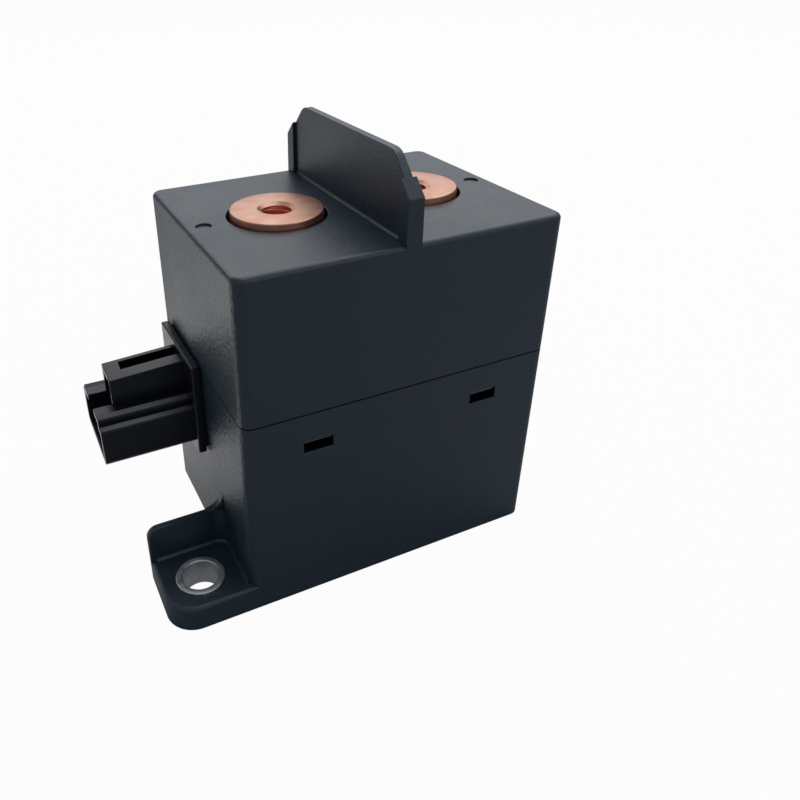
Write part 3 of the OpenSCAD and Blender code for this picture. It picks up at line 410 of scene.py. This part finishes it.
def plated_metal(name, tint, roughness, patch=2 * MM, streak=(1, 1, 1)):
    """Plated or bare metal whose tint and sheen change from patch to patch."""
    finish = Finish(name, Metallic=1.0)
    cloud = finish.noise(patch, detail=4, stretch=streak)
    scratch = patch / 9
    finish.paint(
        Base_Color=finish.mottle(cloud, tint, darkest=0.78, lightest=1.1),
        Roughness=finish.drift(cloud, roughness, down=0.06, up=0.1),
    )
    finish.bump(finish.noise(scratch, detail=2, stretch=streak), depth=0.006 * MM, strength=0.5)
    return finish.material


def dull_solid(name, tint, roughness, grain=0.4 * MM):
    """Ceramic, rubber or plain plastic: a fine grain and a slow change of shade."""
    finish = Finish(name)
    patch = grain * 12
    cloud = finish.noise(patch, detail=3)
    finish.paint(
        Base_Color=finish.mottle(cloud, tint, darkest=0.88, lightest=1.06),
        Roughness=finish.drift(cloud, roughness, down=0.06, up=0.06),
    )
    finish.bump(finish.noise(grain, detail=3), depth=0.015 * MM, strength=0.5)
    return finish.material


# Meshes

def dress(mesh, material):
    """Gives a mesh this one material."""
    mesh.materials.clear()
    mesh.materials.append(material)


def new_object(name, mesh, material):
    piece = bpy.data.objects.new(name, mesh)
    bpy.context.scene.collection.objects.link(piece)
    dress(mesh, material)
    return piece


def settle(piece):
    """Turns an object's modifiers into its plain mesh."""
    bpy.context.view_layer.update()
    evaluated = piece.evaluated_get(bpy.context.evaluated_depsgraph_get())
    mesh = bpy.data.meshes.new_from_object(evaluated)
    old = piece.data
    piece.modifiers.clear()
    piece.data = mesh
    bpy.data.meshes.remove(old)
    mesh.name = piece.name
    return piece


def smooth(mesh, limit=CREASE):
    """Shades a mesh smooth, but for the edges that turn by more than the limit."""
    shape = bmesh.new()
    shape.from_mesh(mesh)
    for face in shape.faces:
        face.smooth = True
    for edge in shape.edges:
        edge.smooth = edge.calc_face_angle(math.pi) <= limit
    shape.to_mesh(mesh)
    shape.free()


def check_closed(piece):
    """Stops the script if a mesh has an open or doubled edge."""
    shape = bmesh.new()
    shape.from_mesh(piece.data)
    loose = sum(not edge.is_manifold for edge in shape.edges)
    shape.free()
    if loose:
        raise RuntimeError(f"{piece.name} has {loose} open edges")


def merged_copy(node):
    """The node's triangles joined to one skin, with flat faces made whole."""
    shape = bmesh.new()
    shape.from_mesh(NODES[node].data)
    bmesh.ops.remove_doubles(shape, verts=shape.verts, dist=WELD)
    bmesh.ops.dissolve_limit(shape, angle_limit=FLAT, verts=shape.verts, edges=shape.edges)
    return shape


def crossing_spots(mesh):
    """Places where two faces of a mesh run through each other."""
    shape = bmesh.new()
    shape.from_mesh(mesh)
    bmesh.ops.triangulate(shape, faces=shape.faces)
    shape.faces.ensure_lookup_table()
    tree = BVHTree.FromBMesh(shape)
    spots = []
    for first, second in tree.overlap(tree):
        pair = sorted((shape.faces[first], shape.faces[second]), key=lambda face: face.calc_area())
        if first < second and not set(pair[0].verts) & set(pair[1].verts):
            spots.append(pair[0].calc_center_median())
    shape.free()
    return spots


def near_any(edge, spots, reach):
    """Whether an edge comes closer to one of the spots than the reach."""
    start, end = (vert.co for vert in edge.verts)
    for spot in spots:
        closest, along = intersect_point_line(spot, start, end)
        closest = start if along < 0 else end if along > 1 else closest
        if (closest - spot).length < reach:
            return True
    return False


def raise_dimples(shape, depth):
    """Sets the floors of shallow dimples in the largest upward face to that depth."""
    least, most = 0.2 * MM, 1 * MM
    upward = [face for face in shape.faces if face.normal.z > FACING]
    top = max(upward, key=lambda face: face.calc_area()).calc_center_median().z
    for face in upward:
        if least < top - face.calc_center_median().z < most:
            for vert in face.verts:
                vert.co.z = top - depth


def narrow_lands(shape, split, land):
    """Gives the latch hooks below the parting line an upright strip of that height above their slope."""
    below = [face for face in shape.faces
             if abs(face.normal.y) > FACING and max(vert.co.z for vert in face.verts) < split]
    reach = max(abs(vert.co.y) for face in below for vert in face.verts)
    hooks = [face for face in below if abs(face.calc_center_median().y) > reach - WELD]
    top = max(vert.co.z for face in hooks for vert in face.verts)
    for vert in {vert for face in hooks for vert in face.verts if vert.co.z < top - WELD}:
        vert.co.z = top - land


def bevelled(piece_name, node, widest, round_at, material, sharp_spots, reshape=None):
    """A copy of a solid with a round on each sharp edge, but none near the sharp spots."""
    shape = merged_copy(node)
    if reshape:
        reshape(shape)
    weight = shape.edges.layers.float.new("bevel_weight_edge")
    for edge in shape.edges:
        if edge.is_manifold and edge.calc_face_angle_signed() > SHARP:
            wanted = round_at((edge.verts[0].co + edge.verts[1].co) / 2)
            if wanted and not near_any(edge, sharp_spots, ROUND_CLEARANCE * wanted):
                edge[weight] = wanted / widest
    mesh = bpy.data.meshes.new(piece_name)
    shape.to_mesh(mesh)
    shape.free()
    piece = new_object(piece_name, mesh, material)
    bevel = piece.modifiers.new("edge round", "BEVEL")
    bevel.limit_method = "WEIGHT"
    bevel.width = widest
    bevel.segments = ROUND_STEPS
    bevel.use_clamp_overlap = False
    return settle(piece)


def softened(piece_name, node, widest, round_at, material, reshape=None):
    """A copy of a solid, rounded as round_at says and left sharp where rounds would collide."""
    spots = []
    for _ in range(ROUND_TRIES):
        piece = bevelled(piece_name, node, widest, round_at, material, spots, reshape)
        found = crossing_spots(piece.data)
        if not found:
            break
        spots += found
        bpy.data.objects.remove(piece)
    else:
        raise RuntimeError(f"{piece_name} keeps colliding rounds")
    smooth(piece.data)
    weighted = piece.modifiers.new("flat faces", "WEIGHTED_NORMAL")
    weighted.weight = 100
    weighted.keep_sharp = True
    settle(piece)
    check_closed(piece)
    return piece


def arc(centre, radius, start, end, steps=5):
    """Points on an arc in the profile plane, from one angle in degrees to another."""
    turns = (math.radians(start + (end - start) * step / steps) for step in range(steps + 1))
    return [(centre[0] + radius * math.cos(turn), centre[1] + radius * math.sin(turn)) for turn in turns]


def turned_strip(shape, profile, axis, segments):
    """Adds the faces of a profile of (radius, height) points turned round an upright axis."""
    rings = []
    for radius, height in profile:
        count = segments if radius > WELD else 1
        rings.append([
            shape.verts.new((axis[0] + radius * math.cos(FULL_TURN * step / segments),
                             axis[1] + radius * math.sin(FULL_TURN * step / segments), height))
            for step in range(count)
        ])
    for low, high in zip(rings, rings[1:]):
        for step in range(segments):
            after = (step + 1) % segments
            corners = [low[step % len(low)], low[after % len(low)], high[after % len(high)],
                       high[step % len(high)]]
            shape.faces.new(list(dict.fromkeys(corners)))


def closed_piece(name, shape, material, limit=CREASE):
    """Welds a shape, turns its faces outwards and makes it an object."""
    bmesh.ops.remove_doubles(shape, verts=shape.verts, dist=WELD)
    bmesh.ops.recalc_face_normals(shape, faces=shape.faces)
    mesh = bpy.data.meshes.new(name)
    shape.to_mesh(mesh)
    shape.free()
    smooth(mesh, limit)
    piece = new_object(name, mesh, material)
    check_closed(piece)
    return piece


# Geometry Nodes

class Growth(NodeLayout):
    """One Geometry Nodes tree with named inputs."""

    def __init__(self, name, inputs):
        super().__init__(bpy.data.node_groups.new(name, "GeometryNodeTree"))
        for label, kind in inputs.items():
            self.tree.interface.new_socket(label, in_out="INPUT", socket_type="NodeSocket" + kind)
        self.tree.interface.new_socket("Geometry", in_out="OUTPUT", socket_type="NodeSocketGeometry")
        self.given = self.tree.nodes.new("NodeGroupInput").outputs
        self.result = self.tree.nodes.new("NodeGroupOutput").inputs["Geometry"]

    def circle(self, resolution, radius):
        inputs = {"Resolution": resolution, "Radius": radius}
        return self.node("GeometryNodeCurvePrimitiveCircle", inputs)["Curve"]

    def round_axis(self, radius, turn, height, axis=(0, 0, 0)):
        """A point at that radius, turn in radians and height about an upright axis."""
        point = self.node("ShaderNodeCombineXYZ", {
            "X": self.math("MULTIPLY", radius, self.math("COSINE", turn)),
            "Y": self.math("MULTIPLY", radius, self.math("SINE", turn)),
            "Z": height,
        })["Vector"]
        return self.vector("ADD", point, axis)

    def end(self, geometry):
        """Ends the tree in real geometry with its material."""
        real = self.node("GeometryNodeRealizeInstances", {"Geometry": geometry})["Geometry"]
        painted = self.node("GeometryNodeSetMaterial", {"Geometry": real, "Material": self.given["Material"]})
        self.feed(self.result, painted["Geometry"])
        return self.tree


def grown(name, tree, **values):
    """Runs a tree once and keeps its result as a plain mesh."""
    piece = bpy.data.objects.new(name, bpy.data.meshes.new(name))
    bpy.context.scene.collection.objects.link(piece)
    modifier = piece.modifiers.new(tree.name, "NODES")
    modifier.node_group = tree
    sockets = {item.name: item.identifier for item in tree.interface.items_tree if item.in_out == "INPUT"}
    for label, value in values.items():
        modifier[sockets[label.replace("_", " ")]] = value
    return settle(piece)


def thread_tree():
    """Wall of a tapped hole: a cylinder whose radius follows a helix, running out at both ends."""
    flat_share = 0.125
    run_out = 9.0
    tree = Growth("tapped_hole", {
        "Axis": "Vector", "Bottom": "Float", "Top": "Float", "Radius": "Float", "Depth": "Float",
        "Pitch": "Float", "Columns": "Int", "Rows": "Int", "Material": "Material",
    })
    given = tree.given
    grid = tree.node("GeometryNodeMeshGrid", {
        "Size X": 1.0, "Size Y": 1.0, "Vertices X": given["Columns"], "Vertices Y": given["Rows"],
    })["Mesh"]
    at = tree.node("ShaderNodeSeparateXYZ", {"Vector": tree.node("GeometryNodeInputPosition")["Position"]})
    around = tree.math("ADD", at["X"], 0.5)
    along = tree.math("ADD", at["Y"], 0.5)
    height = tree.math("MULTIPLY_ADD", along, tree.math("SUBTRACT", given["Top"], given["Bottom"]),
                       given["Bottom"])
    turns = tree.math("SUBTRACT", tree.math("DIVIDE", height, given["Pitch"]), around)
    saw = tree.math("ABSOLUTE", tree.math("MULTIPLY_ADD", tree.math("FRACT", turns), 2.0, -1.0))
    flank = tree.math("DIVIDE", tree.math("SUBTRACT", saw, flat_share), 1 - 2 * flat_share, clamp=True)
    foot = tree.math("MULTIPLY", along, run_out, clamp=True)
    head = tree.math("MULTIPLY", tree.math("SUBTRACT", 1.0, along), run_out * 2, clamp=True)
    cut = tree.math("MULTIPLY", flank, tree.math("MULTIPLY", foot, head))
    radius = tree.math("MULTIPLY_ADD", cut, given["Depth"], given["Radius"])
    point = tree.round_axis(radius, tree.math("MULTIPLY", around, FULL_TURN), height, given["Axis"])
    wall = tree.node("GeometryNodeSetPosition", {"Geometry": grid, "Position": point})["Geometry"]
    return tree.end(wall)


def spring_tree():
    """Round wire on a helix whose first and last turns lie closed."""
    tree = Growth("compression_spring", {
        "Diameter": "Float", "Wire": "Float", "Bottom": "Float", "Top": "Float", "Turns": "Int",
        "Steps": "Int", "Material": "Material",
    })
    given = tree.given
    points = tree.math("MULTIPLY_ADD", given["Turns"], given["Steps"], 1.0)
    line = tree.node("GeometryNodeMeshLine", {"Count": points})["Mesh"]
    turn = tree.math("DIVIDE", tree.node("GeometryNodeInputIndex")["Index"], given["Steps"])
    left = tree.math("SUBTRACT", given["Turns"], turn)
    rise = tree.math("SUBTRACT", tree.math("SUBTRACT", given["Top"], given["Bottom"]), given["Wire"])
    free_turns = tree.math("SUBTRACT", given["Turns"], 2.0)
    free_rise = tree.math("SUBTRACT", rise, tree.math("MULTIPLY", given["Wire"], 2.0))
    middle = tree.math("MULTIPLY_ADD", tree.math("SUBTRACT", turn, 1.0),
                       tree.math("DIVIDE", free_rise, free_turns), given["Wire"])
    below = tree.math("MULTIPLY", turn, given["Wire"])
    above = tree.math("SUBTRACT", rise, tree.math("MULTIPLY", left, given["Wire"]))
    opened = tree.math("MAXIMUM", tree.math("MINIMUM", middle, above), below)
    first = tree.math("MULTIPLY_ADD", given["Wire"], 0.5, given["Bottom"])
    point = tree.round_axis(tree.math("MULTIPLY", given["Diameter"], 0.5),
                            tree.math("MULTIPLY", turn, FULL_TURN), tree.math("ADD", first, opened))
    helix = tree.node("GeometryNodeSetPosition", {"Geometry": line, "Position": point})["Geometry"]
    curve = tree.node("GeometryNodeMeshToCurve", {"Mesh": helix})["Curve"]
    section = tree.circle(12, tree.math("MULTIPLY", given["Wire"], 0.5))
    wire = tree.node("GeometryNodeCurveToMesh", {
        "Curve": curve, "Profile Curve": section, "Fill Caps": True})["Mesh"]
    return tree.end(wire)


def winding_tree():
    """Outer layer of a coil: one wire ring for each turn, side by side along the bobbin."""
    tree = Growth("coil_layer", {
        "Radius": "Float", "Wire": "Float", "Bottom": "Float", "Turns": "Int", "Material": "Material",
    })
    given = tree.given
    start = tree.node("ShaderNodeCombineXYZ", {
        "Z": tree.math("MULTIPLY_ADD", given["Wire"], 0.5, given["Bottom"])})["Vector"]
    step = tree.node("ShaderNodeCombineXYZ", {"Z": given["Wire"]})["Vector"]
    spots = tree.node("GeometryNodeMeshLine", {
        "Count": given["Turns"], "Start Location": start, "Offset": step})["Mesh"]
    loop = tree.circle(72, given["Radius"])
    section = tree.circle(8, tree.math("MULTIPLY", given["Wire"], 0.5))
    ring = tree.node("GeometryNodeCurveToMesh", {"Curve": loop, "Profile Curve": section})["Mesh"]
    layer = tree.node("GeometryNodeInstanceOnPoints", {"Points": spots, "Instance": ring})["Instances"]
    return tree.end(layer)


# Operators

class CONTACTOR_OT_mouldings(bpy.types.Operator):
    """Base, cover and coil connector with softened edges and moulded finishes"""

    bl_idname = "contactor.mouldings"
    bl_label = "Mouldings"

    def execute(self, context):
        moulding = context.scene.contactor_moulding
        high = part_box("top_cover")[1]
        split = min(v.co.z for v in NODES["top_cover"].data.vertices if abs(v.co.y) > high.y - WELD)
        mouth = Vector(MOUNTS["coil_socket"]["pos_m"])
        shell_round = self.shell_rule(moulding, high, split)
        header_round = self.header_rule(moulding, mouth)

        def cover_details(shape):
            raise_dimples(shape, moulding.dimple)
            narrow_lands(shape, split, moulding.hook_land)

        window = self.latch_window(moulding, high, split)
        housing = moulded_plastic("moulded_black", moulding, high, window)
        glossy = connector_plastic("connector_black", moulding, mouth.y, self.ledges(moulding, mouth))
        for node, slot, widest, rule, material, reshape in (
            ("base_housing", "housing_black", moulding.foot_edge, shell_round, housing, None),
            ("top_cover", "cover_black", moulding.housing_edge, shell_round, housing, cover_details),
            ("connector_header", "connector_black", moulding.ledge_edge, header_round, glossy, None),
        ):
            piece = softened(node + "_skin", node, widest, rule, material, reshape)
            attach(piece, "housing")
            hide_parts(node)
        return {"FINISHED"}

    def shell_rule(self, moulding, high, split):
        """Rounds of base and cover: wider on the feet, none inside and none along the parting line."""
        skin = moulding.skin
        bush_seat = 6 * MM
        barrier_depth = 20 * MM
        bushes = [Vector(MOUNTS[hole]["pos_m"]).xy for hole in BUSHES.values()]

        def shell_round(point):
            if abs(point.x) > high.x + skin and point.z > skin:
                seated = min((point.xy - bush).length for bush in bushes) < bush_seat
                return moulding.housing_edge if seated else moulding.foot_edge
            outside = (abs(point.x) > high.x - skin or abs(point.y) > high.y - skin
                       or point.z < skin or point.z > high.z - barrier_depth)
            return moulding.housing_edge if outside and abs(point.z - split) > skin / 2 else 0

        return shell_round

    def header_rule(self, moulding, mouth):
        """Rounds of the connector: wider along the shroud's ledges and on the flange's rim."""
        lip = 2 * MM
        rim_gap = 0.05 * MM
        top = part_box("connector_header")[1].z
        rim_x = min(v.co.x for v in NODES["connector_header"].data.vertices if v.co.z > top - moulding.skin)

        def header_round(point):
            if mouth.x + lip < point.x < rim_x and abs(point.y - mouth.y) > moulding.flank:
                return moulding.ledge_edge
            return moulding.flange_edge if abs(point.x - rim_x) < rim_gap else moulding.connector_edge

        return header_round

    def latch_window(self, moulding, high, split):
        """Heights of the latch windows: their sill, the foot of the hook's upright strip and their top."""
        corner_share = 0.8
        hook_gap = 0.15 * MM
        heights = [v.co.z for v in NODES["base_housing"].data.vertices
                   if abs(v.co.y) > high.y - WELD and abs(v.co.x) < corner_share * high.x
                   and moulding.skin < v.co.z < split - moulding.skin]
        top = max(heights)
        return min(heights), top - hook_gap - moulding.hook_land, top

    def ledges(self, moulding, mouth):
        """Height of each level ledge of the shroud, and how far from the socket's middle it begins."""
        crown_step = 1.7 * MM
        end = [v.co for v in NODES["connector_header"].data.vertices if v.co.x < mouth.x + WELD]
        widest = max(abs(point.y - mouth.y) for point in end)
        shoulder = max(point.z for point in end if abs(point.y - mouth.y) > widest - WELD)
        crown = max(point.z for point in end)
        return (shoulder, moulding.flank), (crown, moulding.flank - crown_step)


class CONTACTOR_OT_terminals(bpy.types.Operator):
    """Turned copper terminals with a cut thread"""

    bl_idname = "contactor.terminals"
    bl_label = "Terminals"

    def execute(self, context):
        terminal = context.scene.contactor_terminal
        tree = thread_tree()
        axis_x = abs(MOUNTS["terminal_left_thread"]["pos_m"][0])
        copper = turned_copper("turned_copper", terminal, axis_x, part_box("terminal_left")[1].z)
        for node in TERMINALS:
            self.make(node, MOUNTS[node + "_thread"], terminal, tree, copper)
        return {"FINISHED"}

    def make(self, node, mount, terminal, tree, copper):
        """Turns one terminal, with a countersink, and cuts its thread."""
        rows_per_turn = 10
        low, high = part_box(node)
        axis = (mount["pos_m"][0], mount["pos_m"][1], 0)
        pad = (high.x - low.x) / 2
        bore = mount["dims"]["r_mm"] * MM
        depth = mount["dims"]["length_mm"] * MM
        wall_top = high.z - terminal.sink_depth
        wall_low = wall_top - depth
        edge = terminal.pad_edge
        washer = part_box(node.replace("terminal", "braze_washer"))[1].z
        stem = max(abs(v.co.x - axis[0]) for v in NODES[node].data.vertices if v.co.z < washer - MM)
        shape = bmesh.new()
        foot = low.z + CONTACT_GAP
        outer = [(0, foot), *arc((stem - edge, foot + edge), edge, -90, 0), (stem, washer), (pad, washer),
                 *arc((pad - edge, high.z - edge), edge, 0, 90), (bore + terminal.sink, high.z),
                 (bore, wall_top)]
        turned_strip(shape, outer, axis, terminal.segments)
        turned_strip(shape, [(bore, wall_low), (0, wall_low)], axis, terminal.segments)
        rows = round(rows_per_turn * depth / terminal.thread_pitch)
        wall = grown(node + "_thread", tree, Axis=axis, Bottom=wall_low, Top=wall_top, Radius=bore,
                     Depth=terminal.thread_depth, Pitch=terminal.thread_pitch,
                     Columns=terminal.segments + 1, Rows=rows, Material=copper)
        shape.from_mesh(wall.data)
        bpy.data.objects.remove(wall)
        piece = closed_piece(node + "_turned", shape, copper, limit=math.radians(25))
        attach(piece, "housing")
        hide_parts(node)


class CONTACTOR_OT_bushes(bpy.types.Operator):
    """Steel bushes of the mounting feet"""

    bl_idname = "contactor.bushes"
    bl_label = "Foot bushes"

    def execute(self, context):
        terminal = context.scene.contactor_terminal
        steel = plated_metal("bush_zinc", terminal.steel_colour, terminal.steel_roughness)
        edge = terminal.bush_edge
        for node, hole in BUSHES.items():
            low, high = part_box(node)
            axis = MOUNTS[hole]["pos_m"]
            bore = MOUNTS[hole]["dims"]["r_mm"] * MM
            out = (high.x - low.x) / 2
            corners = (
                (out - edge, low.z + edge, -90), (out - edge, high.z - edge, 0),
                (bore + edge, high.z - edge, 90), (bore + edge, low.z + edge, 180),
            )
            profile = [point for x, z, start in corners for point in arc((x, z), edge, start, start + 90)]
            shape = bmesh.new()
            turned_strip(shape, [*profile, profile[0]], axis, terminal.segments)
            piece = closed_piece(node + "_turned", shape, steel)
            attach(piece, "housing")
            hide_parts(node)
        return {"FINISHED"}


class CONTACTOR_OT_blades(bpy.types.Operator):
    """Tinned blades of the coil connector"""

    bl_idname = "contactor.blades"
    bl_label = "Coil blades"

    def execute(self, context):
        blade_edge = context.scene.contactor_mechanism.blade_edge
        tin = plated_metal("tinned_blade", (0.62, 0.6, 0.56), 0.3, streak=(0.2, 1, 1))
        for node in BLADES:
            piece = softened(node + "_plated", node, blade_edge, lambda point: blade_edge, tin)
            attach(piece, "housing")
            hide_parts(node)
        return {"FINISHED"}


class CONTACTOR_OT_springs(bpy.types.Operator):
    """Return spring and contact spring, wound in their solids' places and carried by their bodies"""

    bl_idname = "contactor.springs"
    bl_label = "Springs"

    def execute(self, context):
        mechanism = context.scene.contactor_mechanism
        steel = plated_metal("spring_steel", (0.5, 0.5, 0.52), 0.28, 1 * MM)
        tree = spring_tree()
        for node, body, joint_name, wire, turns in (
            ("return_spring", "housing", "plunger_stroke", mechanism.return_wire, mechanism.return_turns),
            ("contact_spring", "armature", "bridge_overtravel", mechanism.contact_wire,
             mechanism.contact_turns),
        ):
            low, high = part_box(node)
            piece = grown(node + "_wire", tree, Diameter=high.x - low.x - wire, Wire=wire, Bottom=low.z,
                          Top=high.z, Turns=turns, Steps=40, Material=steel)
            smooth(piece.data)
            check_closed(piece)
            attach(piece, body)
            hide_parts(node)
            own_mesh(piece)
        return {"FINISHED"}


class CONTACTOR_OT_coil(bpy.types.Operator):
    """Outer layer of the coil's winding"""

    bl_idname = "contactor.coil"
    bl_label = "Coil winding"

    def execute(self, context):
        wire = context.scene.contactor_mechanism.coil_wire
        enamel = plated_metal("enamelled_wire", (0.55, 0.2, 0.08), 0.25, 1 * MM)
        low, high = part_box("coil_winding")
        piece = grown("winding_turns", winding_tree(), Radius=high.x - wire / 2, Wire=wire, Bottom=low.z,
                      Turns=int((high.z - low.z) / wire), Material=enamel)
        smooth(piece.data)
        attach(piece, "housing")
        dress(NODES["coil_winding"].data, enamel)
        return {"FINISHED"}


class CONTACTOR_OT_inner_finishes(bpy.types.Operator):
    """Finishes of the pieces that keep their solid's own shape"""

    bl_idname = "contactor.inner_finishes"
    bl_label = "Inner finishes"

    def execute(self, context):
        terminal = context.scene.contactor_terminal
        iron = plated_metal("nickel_iron", (0.5, 0.5, 0.49), 0.36, 3 * MM)
        thin = plated_metal("drawn_steel", (0.56, 0.57, 0.58), 0.26, 2 * MM, (1, 1, 0.1))
        copper = plated_metal("stamped_copper", terminal.copper_colour, 0.32, 2 * MM)
        finishes = {
            iron: ("yoke_frame", "yoke_plate", "fixed_core", "plunger", "backing_plate_front",
                   "backing_plate_rear"),
            thin: ("guide_cup", "drive_shaft", "spring_seat", "retaining_clip", "chamber_ring"),
            copper: ("contact_bridge", "gas_fill_tube"),
            plated_metal("braze_alloy", (0.7, 0.52, 0.2), 0.35): ("braze_washer_left", "braze_washer_right"),
            plated_metal("magnet_plating", (0.3, 0.3, 0.31), 0.3): ("magnet_front", "magnet_rear"),
            dull_solid("alumina", (0.82, 0.8, 0.75), 0.5): ("ceramic_chamber",),
            dull_solid("natural_nylon", (0.66, 0.6, 0.48), 0.45): ("coil_bobbin", "arc_shield"),
            dull_solid("rubber", (0.03, 0.03, 0.032), 0.8): ("base_pad", "damper_pad"),
            dull_solid("lead_sleeve_black", (0.01, 0.01, 0.011), 0.45): ("coil_lead_front",),
            dull_solid("lead_sleeve_red", (0.36, 0.02, 0.03), 0.45): ("coil_lead_rear",),
        }
        for material, nodes in finishes.items():
            for node in nodes:
                dress(NODES[node].data, material)
        return {"FINISHED"}


def background_share(layout, seen, mirrored):
    """Share of plain white for rays from the camera, through glass or off a glossy face; 0 for the rest."""
    path = layout.node("ShaderNodeLightPath")
    rays = (("Is Camera Ray", seen), ("Is Transmission Ray", seen), ("Is Glossy Ray", mirrored))
    total = 0.0
    for ray, weight in rays:
        total = layout.math("MULTIPLY_ADD", path[ray], weight, total, clamp=True)
    return total


def show_white(layout, white_share, plain, white, output):
    """Ends a tree in the white shader for that share of the light, and in the plain one for the rest."""
    both = layout.node("ShaderNodeMixShader", {0: white_share, 1: plain, 2: white})["Shader"]
    layout.feed(layout.tree.nodes[output].inputs["Surface"], both)


class CONTACTOR_OT_stage(bpy.types.Operator):
    """Pale floor, soft lights, white surroundings and the camera"""

    bl_idname = "contactor.stage"
    bl_label = "Stage"

    def execute(self, context):
        studio = context.scene.contactor_studio
        self.floor(studio)
        self.sky(context.scene, studio)
        self.softbox("key_light", spot=(0.26, 0.59, 0.55), size=(0.9, 0.7), power=studio.key_power)
        self.softbox("top_light", spot=(0.36, 0.08, 0.8), size=(0.7, 0.9), power=studio.top_power)
        self.softbox("front_light", spot=(0.36, -0.83, 0.5), size=(0.35, 0.35), power=studio.front_power)
        self.camera(context.scene, studio)
        context.scene.view_settings.view_transform = "Standard"
        return {"FINISHED"}

    def floor(self, studio):
        """Paper that is grey to the part and all but white to the camera, so that a faint shadow stays."""
        half = studio.floor_size / 2
        drop = -0.05 * MM
        corners = [(-half, -half, drop), (half, -half, drop), (half, half, drop), (-half, half, drop)]
        mesh = bpy.data.meshes.new("floor")
        mesh.from_pydata(corners, [], [(0, 1, 2, 3)])
        paper = Finish("pale_floor", Base_Color=(*studio.floor_colour, 1), Roughness=0.9,
                       Specular_IOR_Level=0.1)
        white_share = background_share(paper, seen=studio.floor_white, mirrored=self.glow_behind(paper))
        glow = paper.node("ShaderNodeEmission")["Emission"]
        show_white(paper, white_share, paper.shader.outputs["BSDF"], glow, "Material Output")
        new_object("floor", mesh, paper.material)

    def glow_behind(self, paper):
        """White share that the part mirrors: a strip of floor behind it and to its left."""
        parts = paper.parts()
        slant = paper.math("MULTIPLY_ADD", parts["X"], 2.0, parts["Y"])
        behind = paper.spread(parts["Y"], low=0.0, high=1.0, start=-0.02, end=0.04)
        left = paper.spread(slant, low=1.0, high=0.12, start=-0.004, end=0.018)
        return paper.math("MULTIPLY", behind, left)

    def sky(self, scene, studio):
        """Soft light from all round, in place of which the camera sees white."""
        scene.world = bpy.data.worlds.new("studio")
        scene.world.use_nodes = True
        layout = NodeLayout(scene.world.node_tree)
        soft = layout.tree.nodes["Background"]
        soft.inputs["Strength"].default_value = studio.sky
        soft.inputs["Color"].default_value = (*studio.sky_colour, 1)
        white = layout.node("ShaderNodeBackground", {"Color": (1, 1, 1, 1)})["Background"]
        white_share = background_share(layout, seen=1.0, mirrored=0.1)
        show_white(layout, white_share, soft.outputs["Background"], white, "World Output")

    def softbox(self, name, spot, size, power):
        """A soft lamp aimed at the part's middle, which the camera doesn't see."""
        light = bpy.data.lights.new(name, "AREA")
        light.shape = "RECTANGLE"
        light.size, light.size_y = size
        light.energy = power
        lamp = bpy.data.objects.new(name, light)
        lamp.location = spot
        target = Vector((0, 0, 0.03))
        aim = target - lamp.location
        lamp.rotation_euler = aim.to_track_quat("-Z", "Y").to_euler()
        lamp.visible_camera = False
        bpy.context.scene.collection.objects.link(lamp)

    def camera(self, scene, studio):
        """Camera at the viewing angle, with the picture's roll and shift."""
        turn, lift = studio.azimuth, studio.elevation
        back = Vector((math.sin(turn) * math.cos(lift), -math.cos(turn) * math.cos(lift), math.sin(lift)))
        right = Vector((0, 0, 1)).cross(back).normalized()
        axes = Matrix((right, back.cross(right), back)).transposed()
        lens = bpy.data.cameras.new("camera")
        lens.sensor_width = 36
        lens.lens = studio.focal
        lens.shift_x = studio.shift_x
        lens.shift_y = studio.shift_y
        lens.clip_start = 0.01
        lens.clip_end = 100
        camera = bpy.data.objects.new("camera", lens)
        turned = axes @ Matrix.Rotation(studio.roll, 3, "Z")
        camera.matrix_world = Matrix.Translation(studio.camera_place) @ turned.to_4x4()
        scene.collection.objects.link(camera)
        scene.camera = camera


class CONTACTOR_PT_looks(bpy.types.Panel):
    """Lists the steps and settings that dress the contactor"""

    bl_idname = "CONTACTOR_PT_looks"
    bl_label = "Contactor"
    bl_space_type = "VIEW_3D"
    bl_region_type = "UI"
    bl_category = "Contactor"

    def draw(self, context):
        for step in STEPS:
            self.layout.operator(step.bl_idname, text=step.bl_label)
        for group in GROUPS:
            settings = getattr(context.scene, group)
            box = self.layout.box()
            for key in settings.__annotations__:
                box.prop(settings, key)


GROUPS = {
    "contactor_moulding": MouldingSettings,
    "contactor_terminal": TerminalSettings,
    "contactor_mechanism": MechanismSettings,
    "contactor_studio": StudioSettings,
}
STEPS = (
    CONTACTOR_OT_mouldings, CONTACTOR_OT_terminals, CONTACTOR_OT_bushes, CONTACTOR_OT_blades,
    CONTACTOR_OT_springs, CONTACTOR_OT_coil, CONTACTOR_OT_inner_finishes, CONTACTOR_OT_stage,
)


def register():
    for group in GROUPS.values():
        bpy.utils.register_class(group)
    for step in (*STEPS, CONTACTOR_PT_looks):
        bpy.utils.register_class(step)
    for name, group in GROUPS.items():
        setattr(bpy.types.Scene, name, PointerProperty(type=group))


def unregister():
    for name in GROUPS:
        delattr(bpy.types.Scene, name)
    for part in (CONTACTOR_PT_looks, *reversed(STEPS), *reversed(GROUPS.values())):
        bpy.utils.unregister_class(part)


def main():
    register()
    bpy.ops.contactor.mouldings()
    bpy.ops.contactor.terminals()
    bpy.ops.contactor.bushes()
    bpy.ops.contactor.blades()
    bpy.ops.contactor.springs()
    bpy.ops.contactor.coil()
    bpy.ops.contactor.inner_finishes()
    bpy.ops.contactor.stage()


if __name__ == "__main__":
    main()
